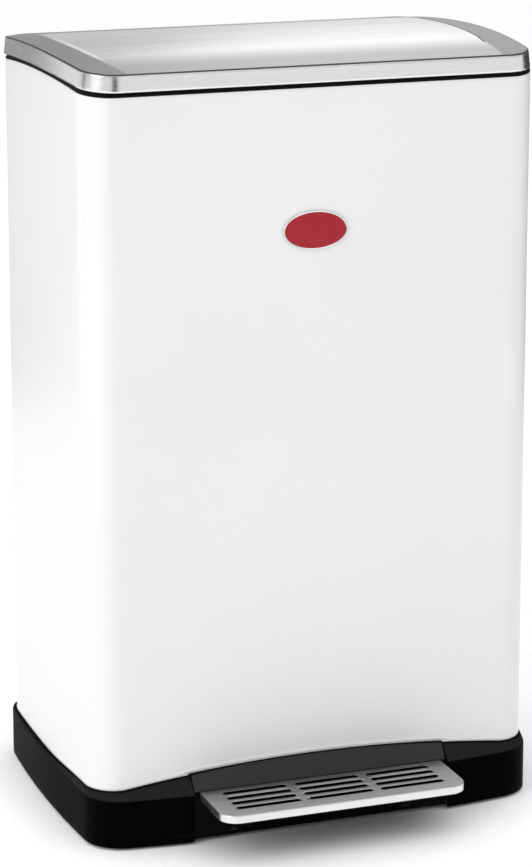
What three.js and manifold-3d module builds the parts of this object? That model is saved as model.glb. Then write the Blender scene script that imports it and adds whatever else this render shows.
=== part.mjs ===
// Free-standing pedal bin: a coated steel body on a bowed plastic base, a hinged steel lid,
// a slotted foot tread that lifts the lid through a rocking shaft and a push rod, and two
// lift-out inner buckets with wire bails.
// Millimetres. +X is the bin's right as seen from the front, +Y its back, +Z up.
// Inside binGroup the origin is under the middle of the body; the group is then shifted
// so that the whole object's bounding box is centred over the origin.
import * as THREE from "three";
import { mergeVertices } from "three/addons/utils/BufferGeometryUtils.js";
import Module from "manifold-3d";

const wasm = await Module();
wasm.setup();

// ---------------------------------------------------------------- driving dimensions
const GAP = 0.3; // running or resting clearance between two separate pieces

const BODY = { width: 400, depth: 260, corner: 26.5, sideBow: 2.1, frontBow: 0, centreY: 0 };
const SHELL_WALL = 0.8;
const SHELL_FOOT_Z = 40.6; // lower edge of the sheet, hidden inside the base
const BODY_TOP_Z = 637.7; // top of the sheet at the front and the back
const BODY_TOP_RISE = 6.8; // how much higher the top is half way back

const BASE = { width: 404.7, depth: 282.1, corner: 30.4, sideBow: 4.35, frontBow: 11.4, centreY: 0 };
const BASE_WALL = 3;
const BASE_FOOT_Z = 2; // the rubber feet carry the base this far off the ground
const BASE_CREASE_Z = 44; // top of the upright wall, where the shoulder starts
const BASE_EDGE_Z = 50.3; // shoulder's top edge at the front corners
const BASE_EDGE_RISE = 11.3; // extra height of that edge in the middle of the front
const BASE_EDGE_DROP = 4.6; // how much lower it runs along the sides and the back
const LEDGE_TOP_Z = 40.3;
const LEDGE_THICK = 3;
const LEDGE_INSET = 9; // from the body's outside to the ledge's free edge

const RIM_BAND = 3.6; // dark band left showing between the body and the lid
const RIM_WALL = 2.4;
const RIM_LEG = 26; // depth of the rim's leg inside the sheet
const RIM_LEDGE = 12; // width of the rim's flat top, from the body's outside

const LID_FOOT = { width: 399.6, depth: 271.4, corner: 27.6, sideBow: 4.2, frontBow: 0, centreY: 3.4 };
const LID_EDGE = { width: 396.6, depth: 270.6, corner: 27.9, sideBow: 4.9, frontBow: 0, centreY: 3.6 };
const LID_SKIRT_FOOT = 4.2; // lid skirt's lower edge above the sheet's top edge
const LID_SKIRT_TOP = 19.3; // lid's upper edge above the sheet's top edge
const LID_ROUND = 2; // rounding between skirt and top
const LID_CROWN = 2.4; // raised centre panel
const LID_WING = 28; // width of the sloping border around that panel
const LID_SKIN = 1;
const LINER_WALL = 2.2;

const HINGE_Y = 136;
const HINGE_Z = 636.5;
const HINGE_X = 120; // each hinge's distance from the middle
const LID_OPEN_DEG = 72;
const PIN_RADIUS = 2.2;
const BARREL_RADIUS = 4.5;

const PIVOT_Y = -50; // rocking shaft of the pedal
const PIVOT_Z = 30;
const SHAFT_RADIUS = 5;
const SHAFT_HALF = 113;
const ARM_THICK = 4;
const ARM_X = 80;

const TREAD_HALF = 110.5;
const TREAD_BACK_Y = -143.8;
const TREAD_FRONT_Y = -205.6;
const TREAD_TOP_Z = 45;
const TREAD_LIP = 6.6;
const TREAD_SKIN = 1.5;
const TREAD_CORNER = 16;
const SLOT_LENGTH = 57;
const SLOT_WIDTH = 5.6;
const SLOT_ROWS = 4;
const SLOT_ROW_PITCH = 11.6;
const SLOT_FIRST_Y = -153.6;
const SLOT_GROUP_PITCH = 65;

const PANEL_HALF = 116.5; // pedal recess
const PANEL_FACE_Y = -142;

const ROD_X = 12;
const ROD_Y = 113;
const ROD_RADIUS = 2.5;

const DECK_TOP_Z = 60.5;
const DECK_THICK = 2.5;

const BUCKET_X = 94.5;
const BUCKET_Y = -10;
const BUCKET_FOOT_Z = 61;
const BUCKET_RIM_Z = 527;
const BUCKET_WALL = 2.2;
const BUCKET_LIP = 3.5;
const BUCKET_TOP = { width: 174, depth: 206, corner: 26, sideBow: 0, frontBow: 0 };
const BUCKET_FOOT = { width: 152, depth: 184, corner: 22, sideBow: 0, frontBow: 0 };
const BAIL_WIRE = 2;
const BAIL_REACH = 82; // from the bail's axis to its grip
const BAIL_AXIS_Z = BUCKET_RIM_Z + 9;

const BADGE_X = -3;
const BADGE_Z = 519;
const BADGE_WIDTH = 57;
const BADGE_HEIGHT = 33;

// ---------------------------------------------------------------- finishes
const finish = (color, roughness, metalness) => new THREE.MeshStandardMaterial({ color, roughness, metalness });
const WHITE_COAT = finish("#e6e6e4", 0.35, 0);
const BLACK_MOULDING = finish("#161616", 0.45, 0);
const BRUSHED_STEEL = finish("#c4c4c2", 0.32, 1);
const ZINC_STEEL = finish("#9a9c9e", 0.4, 1);
const GREY_PLASTIC = finish("#7d8083", 0.5, 0);
const RUBBER = finish("#1c1c1c", 0.85, 0);
const RED_ENAMEL = finish("#b3192b", 0.25, 0);

// ---------------------------------------------------------------- solids and meshes
function asSolid(geometry) {
  const bare = geometry.clone();
  bare.deleteAttribute("normal");
  bare.deleteAttribute("uv");
  const merged = mergeVertices(bare, 1e-4);
  return new wasm.Manifold(
    new wasm.Mesh({
      numProp: 3,
      vertProperties: new Float32Array(merged.attributes.position.array),
      triVerts: new Uint32Array(merged.index.array),
    }),
  );
}

function asGeometry(solid) {
  const mesh = solid.getMesh();
  const geometry = new THREE.BufferGeometry();
  geometry.setAttribute("position", new THREE.BufferAttribute(new Float32Array(mesh.vertProperties), 3));
  geometry.setIndex(new THREE.BufferAttribute(new Uint32Array(mesh.triVerts), 1));
  geometry.computeVertexNormals();
  return geometry;
}

const join = (...solids) => solids.reduce((whole, next) => whole.add(next));
const cut = (solid, ...tools) => tools.reduce((rest, tool) => rest.subtract(tool), solid);

const binGroup = new THREE.Group();
function place(name, solid, material) {
  const mesh = new THREE.Mesh(asGeometry(solid), material);
  mesh.name = name;
  binGroup.add(mesh);
}

// ---------------------------------------------------------------- basic shapes
function polygon(points, holes = []) {
  const shape = new THREE.Shape(points.map(([u, v]) => new THREE.Vector2(u, v)));
  for (const hole of holes) {
    shape.holes.push(new THREE.Path(hole.map(([u, v]) => new THREE.Vector2(u, v))));
  }
  return shape;
}

// Extrudes a (y, z) outline along X, an (x, z) outline along Y, or an (x, y) outline along Z.
const AXES = {
  x: new THREE.Matrix4().set(0, 0, 1, 0, 1, 0, 0, 0, 0, 1, 0, 0, 0, 0, 0, 1),
  y: new THREE.Matrix4().set(1, 0, 0, 0, 0, 0, -1, 0, 0, 1, 0, 0, 0, 0, 0, 1),
  z: new THREE.Matrix4(),
};
function prism(axis, shape, low, high) {
  const geometry = new THREE.ExtrudeGeometry(shape, { depth: high - low, bevelEnabled: false, curveSegments: 6 });
  geometry.translate(0, 0, axis === "y" ? -high : low);
  geometry.applyMatrix4(AXES[axis]);
  return asSolid(geometry);
}

function box(x, y, z) {
  const geometry = new THREE.BoxGeometry(x[1] - x[0], y[1] - y[0], z[1] - z[0]);
  geometry.translate((x[0] + x[1]) / 2, (y[0] + y[1]) / 2, (z[0] + z[1]) / 2);
  return asSolid(geometry);
}

function cylinder(axis, radius, low, high, centre, sides = 16) {
  const geometry = new THREE.CylinderGeometry(radius, radius, high - low, sides);
  const middle = (low + high) / 2;
  if (axis === "x") geometry.rotateZ(Math.PI / 2).translate(middle, centre[0], centre[1]);
  if (axis === "y") geometry.translate(centre[0], middle, centre[1]);
  if (axis === "z") geometry.rotateX(Math.PI / 2).translate(centre[0], centre[1], middle);
  return asSolid(geometry);
}

// A round head and shank on one axis; profile is [radius, height] pairs, first and last on the axis.
function turned(profile, centre, sides = 16) {
  const geometry = new THREE.LatheGeometry(profile.map(([r, h]) => new THREE.Vector2(r, h)), sides);
  geometry.rotateX(Math.PI / 2).translate(centre[0], centre[1], centre[2]);
  return asSolid(geometry);
}

function circle(radius, [u, v] = [0, 0], count = 16) {
  return Array.from({ length: count }, (_, i) => {
    const angle = (2 * Math.PI * i) / count;
    return [u + radius * Math.cos(angle), v + radius * Math.sin(angle)];
  });
}

// Slot with round ends between two points.
function slotPath([u0, v0], [u1, v1], width, endSteps = 5) {
  const along = Math.atan2(v1 - v0, u1 - u0);
  const end = (u, v, start) =>
    Array.from({ length: endSteps + 1 }, (_, i) => {
      const angle = start + (Math.PI * i) / endSteps;
      return [u + (width / 2) * Math.cos(angle), v + (width / 2) * Math.sin(angle)];
    });
  return [...end(u1, v1, along - Math.PI / 2), ...end(u0, v0, along + Math.PI / 2)];
}

// Round bar along a flat polyline: mitred rings in the plane whose normal is given, capped at both ends.
function bentBar(points, planeNormal, radius, sides = 8) {
  const route = points.map((point) => new THREE.Vector3(...point));
  const up = new THREE.Vector3(...planeNormal);
  const legs = route.slice(1).map((point, i) => point.clone().sub(route[i]).normalize());
  const rings = route.map((point, i) => {
    const before = legs[Math.max(i - 1, 0)];
    const after = legs[Math.min(i, legs.length - 1)];
    const mean = before.clone().add(after).normalize();
    const across = new THREE.Vector3().crossVectors(up, mean).divideScalar(mean.dot(after));
    return Array.from({ length: sides }, (_, k) => {
      const angle = (2 * Math.PI * (k + 0.5)) / sides;
      const spot = point.clone().addScaledVector(across, radius * Math.cos(angle));
      return spot.addScaledVector(up, radius * Math.sin(angle)).toArray();
    });
  });
  return loft(rings, false);
}

// ---------------------------------------------------------------- lofted casings
const CORNER_STEPS = 5;
const FRONT_STEPS = 12;
const SIDE_STEPS = 6;

// Rounded rectangle, anticlockwise from above: the sides bow out by sideBow, the front by frontBow.
function outline({ width, depth, corner, sideBow, frontBow, centreY = 0 }, centreX = 0) {
  const halfW = width / 2;
  const halfD = depth / 2;
  const points = [];
  const arc = (cx, cy, start) => {
    for (let i = 1; i < CORNER_STEPS; i++) {
      const angle = start + (Math.PI / 2) * (i / CORNER_STEPS);
      points.push([cx + corner * Math.cos(angle), cy + corner * Math.sin(angle)]);
    }
  };
  const bow = (t) => 4 * t * (1 - t);
  for (let i = 0; i <= FRONT_STEPS; i++) {
    const t = i / FRONT_STEPS;
    points.push([(halfW - corner) * (2 * t - 1), -halfD - frontBow * bow(t)]);
  }
  arc(halfW - corner, corner - halfD, -Math.PI / 2);
  for (let i = 0; i <= SIDE_STEPS; i++) {
    const t = i / SIDE_STEPS;
    points.push([halfW + sideBow * bow(t), (halfD - corner) * (2 * t - 1)]);
  }
  arc(halfW - corner, halfD - corner, 0);
  for (let i = 0; i <= SIDE_STEPS; i++) {
    points.push([(halfW - corner) * (1 - (2 * i) / SIDE_STEPS), halfD]);
  }
  arc(corner - halfW, halfD - corner, Math.PI / 2);
  for (let i = 0; i <= SIDE_STEPS; i++) {
    const t = i / SIDE_STEPS;
    points.push([-halfW - sideBow * bow(t), (halfD - corner) * (1 - 2 * t)]);
  }
  arc(corner - halfW, corner - halfD, Math.PI);
  return points.map(([x, y]) => [x + centreX, y + centreY]);
}

const inset = (spec, by) => ({
  ...spec,
  width: spec.width - 2 * by,
  depth: spec.depth - 2 * by,
  corner: Math.max(spec.corner - by, 2),
});

// A ring of points: an outline with a height that is a number or a function of (x, y).
function ring(spec, height, centreX = 0) {
  const heightAt = typeof height === "function" ? height : () => height;
  return outline(spec, centreX).map(([x, y]) => [x, y, heightAt(x, y)]);
}

// Skins the rings in order. A closed loft joins the last ring to the first; an open one is capped flat.
function loft(rings, closed) {
  const count = rings[0].length;
  const positions = rings.flat(2);
  const index = [];
  const last = closed ? rings.length : rings.length - 1;
  for (let k = 0; k < last; k++) {
    const a = k * count;
    const b = ((k + 1) % rings.length) * count;
    for (let i = 0; i < count; i++) {
      const j = (i + 1) % count;
      index.push(a + i, a + j, b + j, a + i, b + j, b + i);
    }
  }
  if (!closed) {
    for (const [k, flip] of [[0, true], [rings.length - 1, false]]) {
      const centre = [0, 1, 2].map((axis) => rings[k].reduce((sum, point) => sum + point[axis], 0) / count);
      const hub = positions.length / 3;
      positions.push(...centre);
      for (let i = 0; i < count; i++) {
        const j = (i + 1) % count;
        index.push(hub, k * count + (flip ? j : i), k * count + (flip ? i : j));
      }
    }
  }
  const geometry = new THREE.BufferGeometry();
  geometry.setAttribute("position", new THREE.Float32BufferAttribute(positions, 3));
  geometry.setIndex(index);
  return asSolid(geometry);
}

// ---------------------------------------------------------------- shared surfaces
// Height of the sheet's top edge: an even arch from front to back.
const bodyTop = (x, y) => {
  const t = THREE.MathUtils.clamp(y / BODY.depth + 0.5, 0, 1);
  return BODY_TOP_Z + BODY_TOP_RISE * 4 * t * (1 - t);
};
const aboveBody = (rise) => (x, y) => bodyTop(x, y) + rise;

// Height of the base's top edge: arched across the front, then falling away along the sides.
const baseEdge = (x, y) => {
  const across = THREE.MathUtils.clamp(x / (BODY.width / 2 - BODY.corner), -1, 1);
  const atFront = THREE.MathUtils.smoothstep(-y, BODY.depth / 2 - BODY.corner, BODY.depth / 2);
  const back = THREE.MathUtils.smoothstep(y, BODY.corner - BODY.depth / 2, 0);
  return BASE_EDGE_Z + BASE_EDGE_RISE * (1 - across * across) * atFront - BASE_EDGE_DROP * back;
};

// ---------------------------------------------------------------- base
function baseMoulding() {
  const inside = inset(BASE, BASE_WALL);
  const ledgeEdge = inset(BODY, LEDGE_INSET);
  const wall = loft(
    [
      ring(BASE, BASE_FOOT_Z),
      ring(BASE, BASE_CREASE_Z),
      ring(inset(BODY, -1.3), baseEdge),
      ring(inset(BODY, -GAP), baseEdge),
      ring(inset(BODY, -GAP), LEDGE_TOP_Z),
      ring(ledgeEdge, LEDGE_TOP_Z),
      ring(ledgeEdge, LEDGE_TOP_Z - LEDGE_THICK),
      ring(inside, LEDGE_TOP_Z - LEDGE_THICK),
      ring(inside, BASE_FOOT_Z),
    ],
    true,
  );
  const recess = box([-PANEL_HALF - GAP, PANEL_HALF + GAP], [-160, -120], [0, 80]);
  const armNotch = box([-7, 7], [ROD_Y, BODY.depth / 2 - 2], [30, 50]);
  const bosses = footSpots().map(([x, y]) => cylinder("z", 16, FOOT_HEIGHT + GAP, LEDGE_TOP_Z - 1, [x, y]));
  place("base_moulding", join(cut(wall, recess, armNotch), ...bosses), BLACK_MOULDING);
}

const FOOT_HEIGHT = 4;
function footSpots() {
  const x = BODY.width / 2 - 24;
  const y = BODY.depth / 2 - 18;
  return [[-x, -y], [x, -y], [-x, y], [x, y]];
}

function feet() {
  const names = ["foot_front_left", "foot_front_right", "foot_rear_left", "foot_rear_right"];
  const profile = [[0, 0], [12, 0], [13, 1], [13, 3], [12, FOOT_HEIGHT], [0, FOOT_HEIGHT]];
  footSpots().forEach(([x, y], i) => place(names[i], turned(profile, [x, y, 0]), RUBBER));
}

// Front insert of the base: a sloping face above an upright wall with a slit for each pedal arm.
function pedalPanel() {
  const slopeTopY = -BODY.depth / 2 - 1.9;
  const backY = -BODY.depth / 2 - GAP;
  const profile = [
    [PANEL_FACE_Y, 3],
    [PANEL_FACE_Y + 2.6, 3],
    [PANEL_FACE_Y + 2.6, BASE_CREASE_Z],
    [backY, BASE_CREASE_Z + 15],
    [backY, 80],
    [slopeTopY, 80],
    [slopeTopY, 60.5],
    [PANEL_FACE_Y, BASE_CREASE_Z + 1],
  ];
  const topEdge = Array.from({ length: 13 }, (_, i) => {
    const x = PANEL_HALF * (1 - i / 6);
    return [x, baseEdge(x, -BODY.depth / 2) + 1.4];
  });
  const arch = polygon([[-PANEL_HALF, 3], [PANEL_HALF, 3], ...topEdge]);
  const front = prism("x", polygon(profile), -PANEL_HALF, PANEL_HALF).intersect(prism("y", arch, -150, -125));
  const slits = [-ARM_X, ARM_X].map((x) => box([x - 5, x + 5], [-145, -120], [5, 42]));
  place("pedal_panel", cut(front, ...slits), BLACK_MOULDING);
}

function bodyShell() {
  const inside = inset(BODY, SHELL_WALL);
  const wall = loft(
    [ring(BODY, SHELL_FOOT_Z), ring(BODY, bodyTop), ring(inside, bodyTop), ring(inside, SHELL_FOOT_Z)],
    true,
  );
  place("body_shell", wall, WHITE_COAT);
}

function floorDeck() {
  const outside = inset(BODY, SHELL_WALL + 1.2);
  const inside = inset(outside, 2);
  const tray = loft(
    [
      ring(inside, SHELL_FOOT_Z),
      ring(outside, SHELL_FOOT_Z),
      ring(outside, DECK_TOP_Z),
      ring(inset(outside, 20), DECK_TOP_Z),
    ],
    false,
  );
  const hollow = loft([ring(inside, SHELL_FOOT_Z - 1), ring(inside, DECK_TOP_Z - DECK_THICK)], false);
  const rodHole = cylinder("z", 4.5, 50, 70, [ROD_X, ROD_Y]);
  place("floor_deck", cut(tray, hollow, rodHole), BLACK_MOULDING);
}

// ---------------------------------------------------------------- rim and body fittings
function topRim() {
  const legOut = inset(BODY, SHELL_WALL + GAP);
  const legIn = inset(legOut, RIM_WALL);
  const ledge = inset(BODY, RIM_LEDGE);
  const collar = loft(
    [
      ring(BODY, aboveBody(GAP)),
      ring(BODY, aboveBody(RIM_BAND)),
      ring(ledge, aboveBody(RIM_BAND)),
      ring(ledge, aboveBody(RIM_BAND - RIM_WALL)),
      ring(legIn, aboveBody(RIM_BAND - RIM_WALL)),
      ring(legIn, aboveBody(-RIM_LEG)),
      ring(legOut, aboveBody(-RIM_LEG)),
      ring(legOut, aboveBody(GAP)),
    ],
    true,
  );
  const lugNotch = box([-4, 4], [100, 128], [600, 660]);
  place("top_rim", cut(collar, lugNotch), BLACK_MOULDING);
}

function lidBuffers() {
  const profile = [[0, 0], [3.8, 0], [3.8, 7], [3, 9.2], [0, 10]];
  for (const [name, x] of [["lid_buffer_left", -150], ["lid_buffer_right", 150]]) {
    const y = RIM_LEDGE - 3.9 - BODY.depth / 2;
    place(name, turned(profile, [x, y, bodyTop(x, y) + RIM_BAND + 2 * GAP]), RUBBER);
  }
}

function badge() {
  const ellipse = Array.from({ length: 32 }, (_, i) => {
    const angle = (2 * Math.PI * i) / 32;
    return [BADGE_X + (BADGE_WIDTH / 2) * Math.cos(angle), BADGE_Z + (BADGE_HEIGHT / 2) * Math.sin(angle)];
  });
  const face = -BODY.depth / 2 - GAP;
  place("badge", prism("y", polygon(ellipse), face - 1.6, face), RED_ENAMEL);
}

// ---------------------------------------------------------------- lid
// Top surface above the sheet's top edge: a wing slopes up from every edge to the raised panel.
const lidRise = (crown) => LID_SKIRT_TOP + crown;

function lidSkin() {
  const edge = (by) => inset(LID_EDGE, by);
  const skin = loft(
    [
      ring(edge(LID_WING + 6), aboveBody(lidRise(LID_CROWN) - LID_SKIN)),
      ring(edge(LID_WING), aboveBody(lidRise(LID_CROWN - 0.8) - LID_SKIN)),
      ring(edge(LID_ROUND), aboveBody(lidRise(0) - LID_SKIN)),
      ring(edge(LID_SKIN), aboveBody(lidRise(-LID_ROUND))),
      ring(inset(LID_FOOT, LID_SKIN), aboveBody(LID_SKIRT_FOOT)),
      ring(LID_FOOT, aboveBody(LID_SKIRT_FOOT)),
      ring(edge(0), aboveBody(lidRise(-LID_ROUND))),
      ring(edge(0.6), aboveBody(lidRise(-0.6))),
      ring(edge(LID_ROUND), aboveBody(lidRise(0))),
      ring(edge(LID_WING), aboveBody(lidRise(LID_CROWN - 0.8))),
      ring(edge(LID_WING + 6), aboveBody(lidRise(LID_CROWN))),
    ],
    false,
  );
  place("lid_skin", skin, BRUSHED_STEEL);
}

function lidLiner() {
  const edge = (by) => inset(LID_EDGE, by + LID_SKIN + GAP);
  const under = LID_SKIN + GAP + 0.2;
  const liner = loft(
    [
      ring(edge(LID_WING), aboveBody(lidRise(0) - under - LINER_WALL)),
      ring(edge(LINER_WALL + 2), aboveBody(lidRise(-0.6) - under - LINER_WALL)),
      ring(inset(LID_FOOT, LID_SKIN + GAP + LINER_WALL), aboveBody(LID_SKIRT_FOOT + 0.6)),
      ring(inset(LID_FOOT, LID_SKIN + GAP + 0.1), aboveBody(LID_SKIRT_FOOT + 0.6)),
      ring(edge(0.2), aboveBody(lidRise(-LID_ROUND) - 1)),
      ring(edge(LID_ROUND), aboveBody(lidRise(0) - under)),
      ring(edge(LID_WING), aboveBody(lidRise(0) - under)),
    ],
    false,
  );
  place("lid_liner", liner, BLACK_MOULDING);
}

// ---------------------------------------------------------------- hinges
const LEAF_TOP_Z = BODY_TOP_Z + LID_SKIRT_TOP - LID_SKIN - LINER_WALL - 2.2;
const flangeHole = (centre) => cylinder("z", 2, LEAF_TOP_Z - 3, LEAF_TOP_Z + 1, centre, 10);
const flangeScrew = (centre) =>
  join(
    cylinder("z", 1.6, LEAF_TOP_Z - 3, LEAF_TOP_Z, centre, 10),
    cylinder("z", 3.4, LEAF_TOP_Z - 4, LEAF_TOP_Z - 2 - GAP, centre, 12),
  );

function hinges() {
  const bracketBackY = BODY.depth / 2 + GAP;
  const around = (radius, from, to) =>
    Array.from({ length: 9 }, (_, i) => {
      const angle = THREE.MathUtils.degToRad(from + ((to - from) * i) / 8);
      return [HINGE_Y + radius * Math.cos(angle), HINGE_Z + radius * Math.sin(angle)];
    });
  const pinHole = circle(PIN_RADIUS + GAP, [HINGE_Y, HINGE_Z]);
  const ear = polygon([[bracketBackY, 612], ...around(BARREL_RADIUS, -30, 150), [bracketBackY, 638]], [pinHole]);
  const leafEar = polygon(
    [
      ...around(BARREL_RADIUS, -160, 20),
      [HINGE_Y - 1.6, HINGE_Z + 7],
      [HINGE_Y - 4.8, LEAF_TOP_Z],
      [HINGE_Y - 8.5, LEAF_TOP_Z],
      [HINGE_Y - 5, HINGE_Z + 5],
    ],
    [pinHole],
  );
  for (const [side, x] of [["left", -HINGE_X], ["right", HINGE_X]]) {
    const plate = box([x - 16, x + 16], [bracketBackY, bracketBackY + 2], [600, 632]);
    const bracket = join(plate, prism("x", ear, x - 12, x - 8), prism("x", ear, x + 8, x + 12));
    const screwZ = 610;
    const holes = [-9, 9].map((dx) => cylinder("y", 2, 120, 140, [x + dx, screwZ]));
    place(`hinge_bracket_${side}`, cut(bracket, ...holes), ZINC_STEEL);

    const leafPlate = box([x - 16, x + 16], [HINGE_Y - 32, HINGE_Y - 5.5], [LEAF_TOP_Z - 2, LEAF_TOP_Z]);
    const leafHoles = [-9, 9].map((dx) => flangeHole([x + dx, HINGE_Y - 24]));
    const leaf = join(prism("x", leafEar, x - 7.4, x + 7.4), leafPlate);
    place(`hinge_leaf_${side}`, cut(leaf, ...leafHoles), ZINC_STEEL);

    const pin = cylinder("x", PIN_RADIUS, x - 13, x + 13, [HINGE_Y, HINGE_Z]);
    const head = cylinder("x", 3.8, x + 12.4, x + 14, [HINGE_Y, HINGE_Z]);
    place(`hinge_pin_${side}`, join(pin, head), ZINC_STEEL);

    for (const [end, dx] of [["a", -9], ["b", 9]]) {
      const shank = cylinder("y", 1.6, bracketBackY, bracketBackY + 3, [x + dx, screwZ], 10);
      const head = cylinder("y", 3.6, bracketBackY + 2 + GAP, bracketBackY + 4, [x + dx, screwZ], 12);
      place(`hinge_screw_${side}_${end}`, join(shank, head), ZINC_STEEL);
      place(`leaf_screw_${side}_${end}`, flangeScrew([x + dx, HINGE_Y - 24]), ZINC_STEEL);
    }
  }
}

// ---------------------------------------------------------------- pedal linkage
// The push rod's hooks travel straight up and down; each runs in a slot long enough for the arc.
const LUG_REACH = HINGE_Y - ROD_Y;
const ROD_HALF_TRAVEL = LUG_REACH * Math.tan(THREE.MathUtils.degToRad(LID_OPEN_DEG / 2));
const TOP_HOOK_Z = HINGE_Z - ROD_HALF_TRAVEL;
const LOW_HOOK_Z = PIVOT_Z - ROD_HALF_TRAVEL;

function lidLug() {
  const half = THREE.MathUtils.degToRad(LID_OPEN_DEG / 2);
  const along = (r) => [HINGE_Y - r * Math.cos(half), HINGE_Z - r * Math.sin(half)];
  const slotWidth = 2 * ROD_RADIUS + 2.4;
  const slot = slotPath(along(LUG_REACH - 0.6), along(LUG_REACH / Math.cos(half) + 0.6), slotWidth);
  const top = LEAF_TOP_Z;
  const plate = [
    [ROD_Y - 7, top],
    [ROD_Y - 8, TOP_HOOK_Z + 2],
    [ROD_Y - 5, TOP_HOOK_Z - 6],
    [ROD_Y + 2, TOP_HOOK_Z - 7],
    [ROD_Y + 12, TOP_HOOK_Z + 2],
    [ROD_Y + 13.5, TOP_HOOK_Z + 8],
    [ROD_Y + 10, TOP_HOOK_Z + 14],
    [ROD_Y + 10, top],
  ];
  const flange = box([-14, 14], [ROD_Y - 12, ROD_Y + 14], [top - 2, top]);
  const spots = [[-9, ROD_Y], [9, ROD_Y]];
  const lug = join(prism("x", polygon(plate, [slot]), -2, 2), flange);
  place("lid_lug", cut(lug, ...spots.map(flangeHole)), ZINC_STEEL);
  spots.forEach((spot, i) => place(`lug_screw_${"ab"[i]}`, flangeScrew(spot), ZINC_STEEL));
}

function liftRod() {
  const at = (x, z) => [x, ROD_Y, z];
  const bend = 3;
  const route = [
    at(-6, LOW_HOOK_Z),
    at(ROD_X - bend, LOW_HOOK_Z),
    at(ROD_X, LOW_HOOK_Z + bend),
    at(ROD_X, TOP_HOOK_Z - bend),
    at(ROD_X - bend, TOP_HOOK_Z),
    at(-6, TOP_HOOK_Z),
  ];
  place("lift_rod", bentBar(route, [0, -1, 0], ROD_RADIUS, 12), ZINC_STEEL);
}

function rodGuides() {
  const wallY = BODY.depth / 2 - SHELL_WALL - GAP;
  for (const [name, z] of [["rod_guide_lower", 190], ["rod_guide_upper", 480]]) {
    const eye = circle(ROD_RADIUS + 4, [ROD_X, ROD_Y]);
    const hole = circle(ROD_RADIUS + 0.5, [ROD_X, ROD_Y]);
    const ringPart = prism("z", polygon(eye, [hole]), z, z + 10);
    const arm = box([ROD_X - 3, ROD_X + 3], [ROD_Y + 5, wallY - 1], [z, z + 10]);
    const foot = box([ROD_X - 12, ROD_X + 12], [wallY - 2, wallY], [z - 8, z + 18]);
    place(name, join(ringPart, arm, foot), BLACK_MOULDING);
  }
}

// Flat bar hung on the shaft: a round end about the pivot and straight edges to its tip.
function barOnShaft(tipPoints, slots = []) {
  const radius = SHAFT_RADIUS + 5;
  const collar = circle(radius, [PIVOT_Y, PIVOT_Z], 20);
  const bore = circle(SHAFT_RADIUS + GAP, [PIVOT_Y, PIVOT_Z]);
  return (low, high) =>
    cut(
      join(prism("x", polygon(collar), low, high), prism("x", polygon(tipPoints), low, high)),
      prism("x", polygon(bore), low - 1, high + 1),
      ...slots.map((path) => prism("x", polygon(path), low - 1, high + 1)),
    );
}

function pedalLinkage() {
  place("rocking_shaft", cylinder("x", SHAFT_RADIUS, -SHAFT_HALF, SHAFT_HALF, [PIVOT_Y, PIVOT_Z]), ZINC_STEEL);

  const frontBar = barOnShaft([
    [PIVOT_Y, PIVOT_Z - 8],
    [PIVOT_Y, PIVOT_Z + 8],
    [-118, 39],
    [-134, 36.2],
    [-182, 36.2],
    [-182, 32.5],
    [-140, 27],
  ]);
  for (const [side, x] of [["left", -ARM_X], ["right", ARM_X]]) {
    place(`pedal_arm_${side}`, frontBar(x - ARM_THICK / 2, x + ARM_THICK / 2), ZINC_STEEL);
  }

  const endSlot = slotPath([ROD_Y - 1.4, LOW_HOOK_Z], [ROD_Y + 1.4, LOW_HOOK_Z], 2 * ROD_RADIUS + 1);
  const rearBar = barOnShaft(
    [
      [PIVOT_Y, PIVOT_Z - 8],
      [ROD_Y - 8, LOW_HOOK_Z - 7],
      [ROD_Y + 6, LOW_HOOK_Z - 6],
      [ROD_Y + 9, LOW_HOOK_Z],
      [ROD_Y + 6, LOW_HOOK_Z + 6],
      [ROD_Y - 8, LOW_HOOK_Z + 7],
      [PIVOT_Y, PIVOT_Z + 8],
    ],
    [endSlot],
  );
  place("lift_arm", rearBar(-ARM_THICK / 2, ARM_THICK / 2), ZINC_STEEL);

  for (const [side, sign] of [["left", -1], ["right", 1]]) {
    const span = (a, b) => [Math.min(sign * a, sign * b), Math.max(sign * a, sign * b)];
    const cheek = polygon(
      [
        [PIVOT_Y - 14, DECK_TOP_Z - DECK_THICK - GAP],
        [PIVOT_Y - 9, PIVOT_Z - 8],
        [PIVOT_Y + 9, PIVOT_Z - 8],
        [PIVOT_Y + 14, DECK_TOP_Z - DECK_THICK - GAP],
      ],
      [circle(SHAFT_RADIUS + GAP, [PIVOT_Y, PIVOT_Z])],
    );
    const [low, high] = span(100, 104);
    const foot = box(span(100, 124), [PIVOT_Y - 16, PIVOT_Y + 16], [DECK_TOP_Z - DECK_THICK - 2.3, DECK_TOP_Z - DECK_THICK - GAP]);
    place(`pedal_bracket_${side}`, join(prism("x", cheek, low, high), foot), ZINC_STEEL);

    const [clipLow, clipHigh] = span(106, 107.6);
    const clip = polygon(circle(SHAFT_RADIUS + 4, [PIVOT_Y, PIVOT_Z]), [circle(SHAFT_RADIUS + GAP, [PIVOT_Y, PIVOT_Z])]);
    place(`shaft_clip_${side}`, prism("x", clip, clipLow, clipHigh), ZINC_STEEL);
  }
}

// ---------------------------------------------------------------- tread
// Square at the back, rounded at the two front corners.
function treadShape(by, holes = []) {
  const half = TREAD_HALF - by;
  const front = TREAD_FRONT_Y + by;
  const radius = TREAD_CORNER - by;
  const corner = (cx, start) =>
    Array.from({ length: 7 }, (_, i) => {
      const angle = start + (Math.PI / 2) * (i / 6);
      return [cx + radius * Math.cos(angle), front + radius + radius * Math.sin(angle)];
    });
  const points = [[-half, TREAD_BACK_Y], ...corner(radius - half, Math.PI), ...corner(half - radius, -Math.PI / 2)];
  return polygon([...points, [half, TREAD_BACK_Y]], holes);
}

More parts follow.
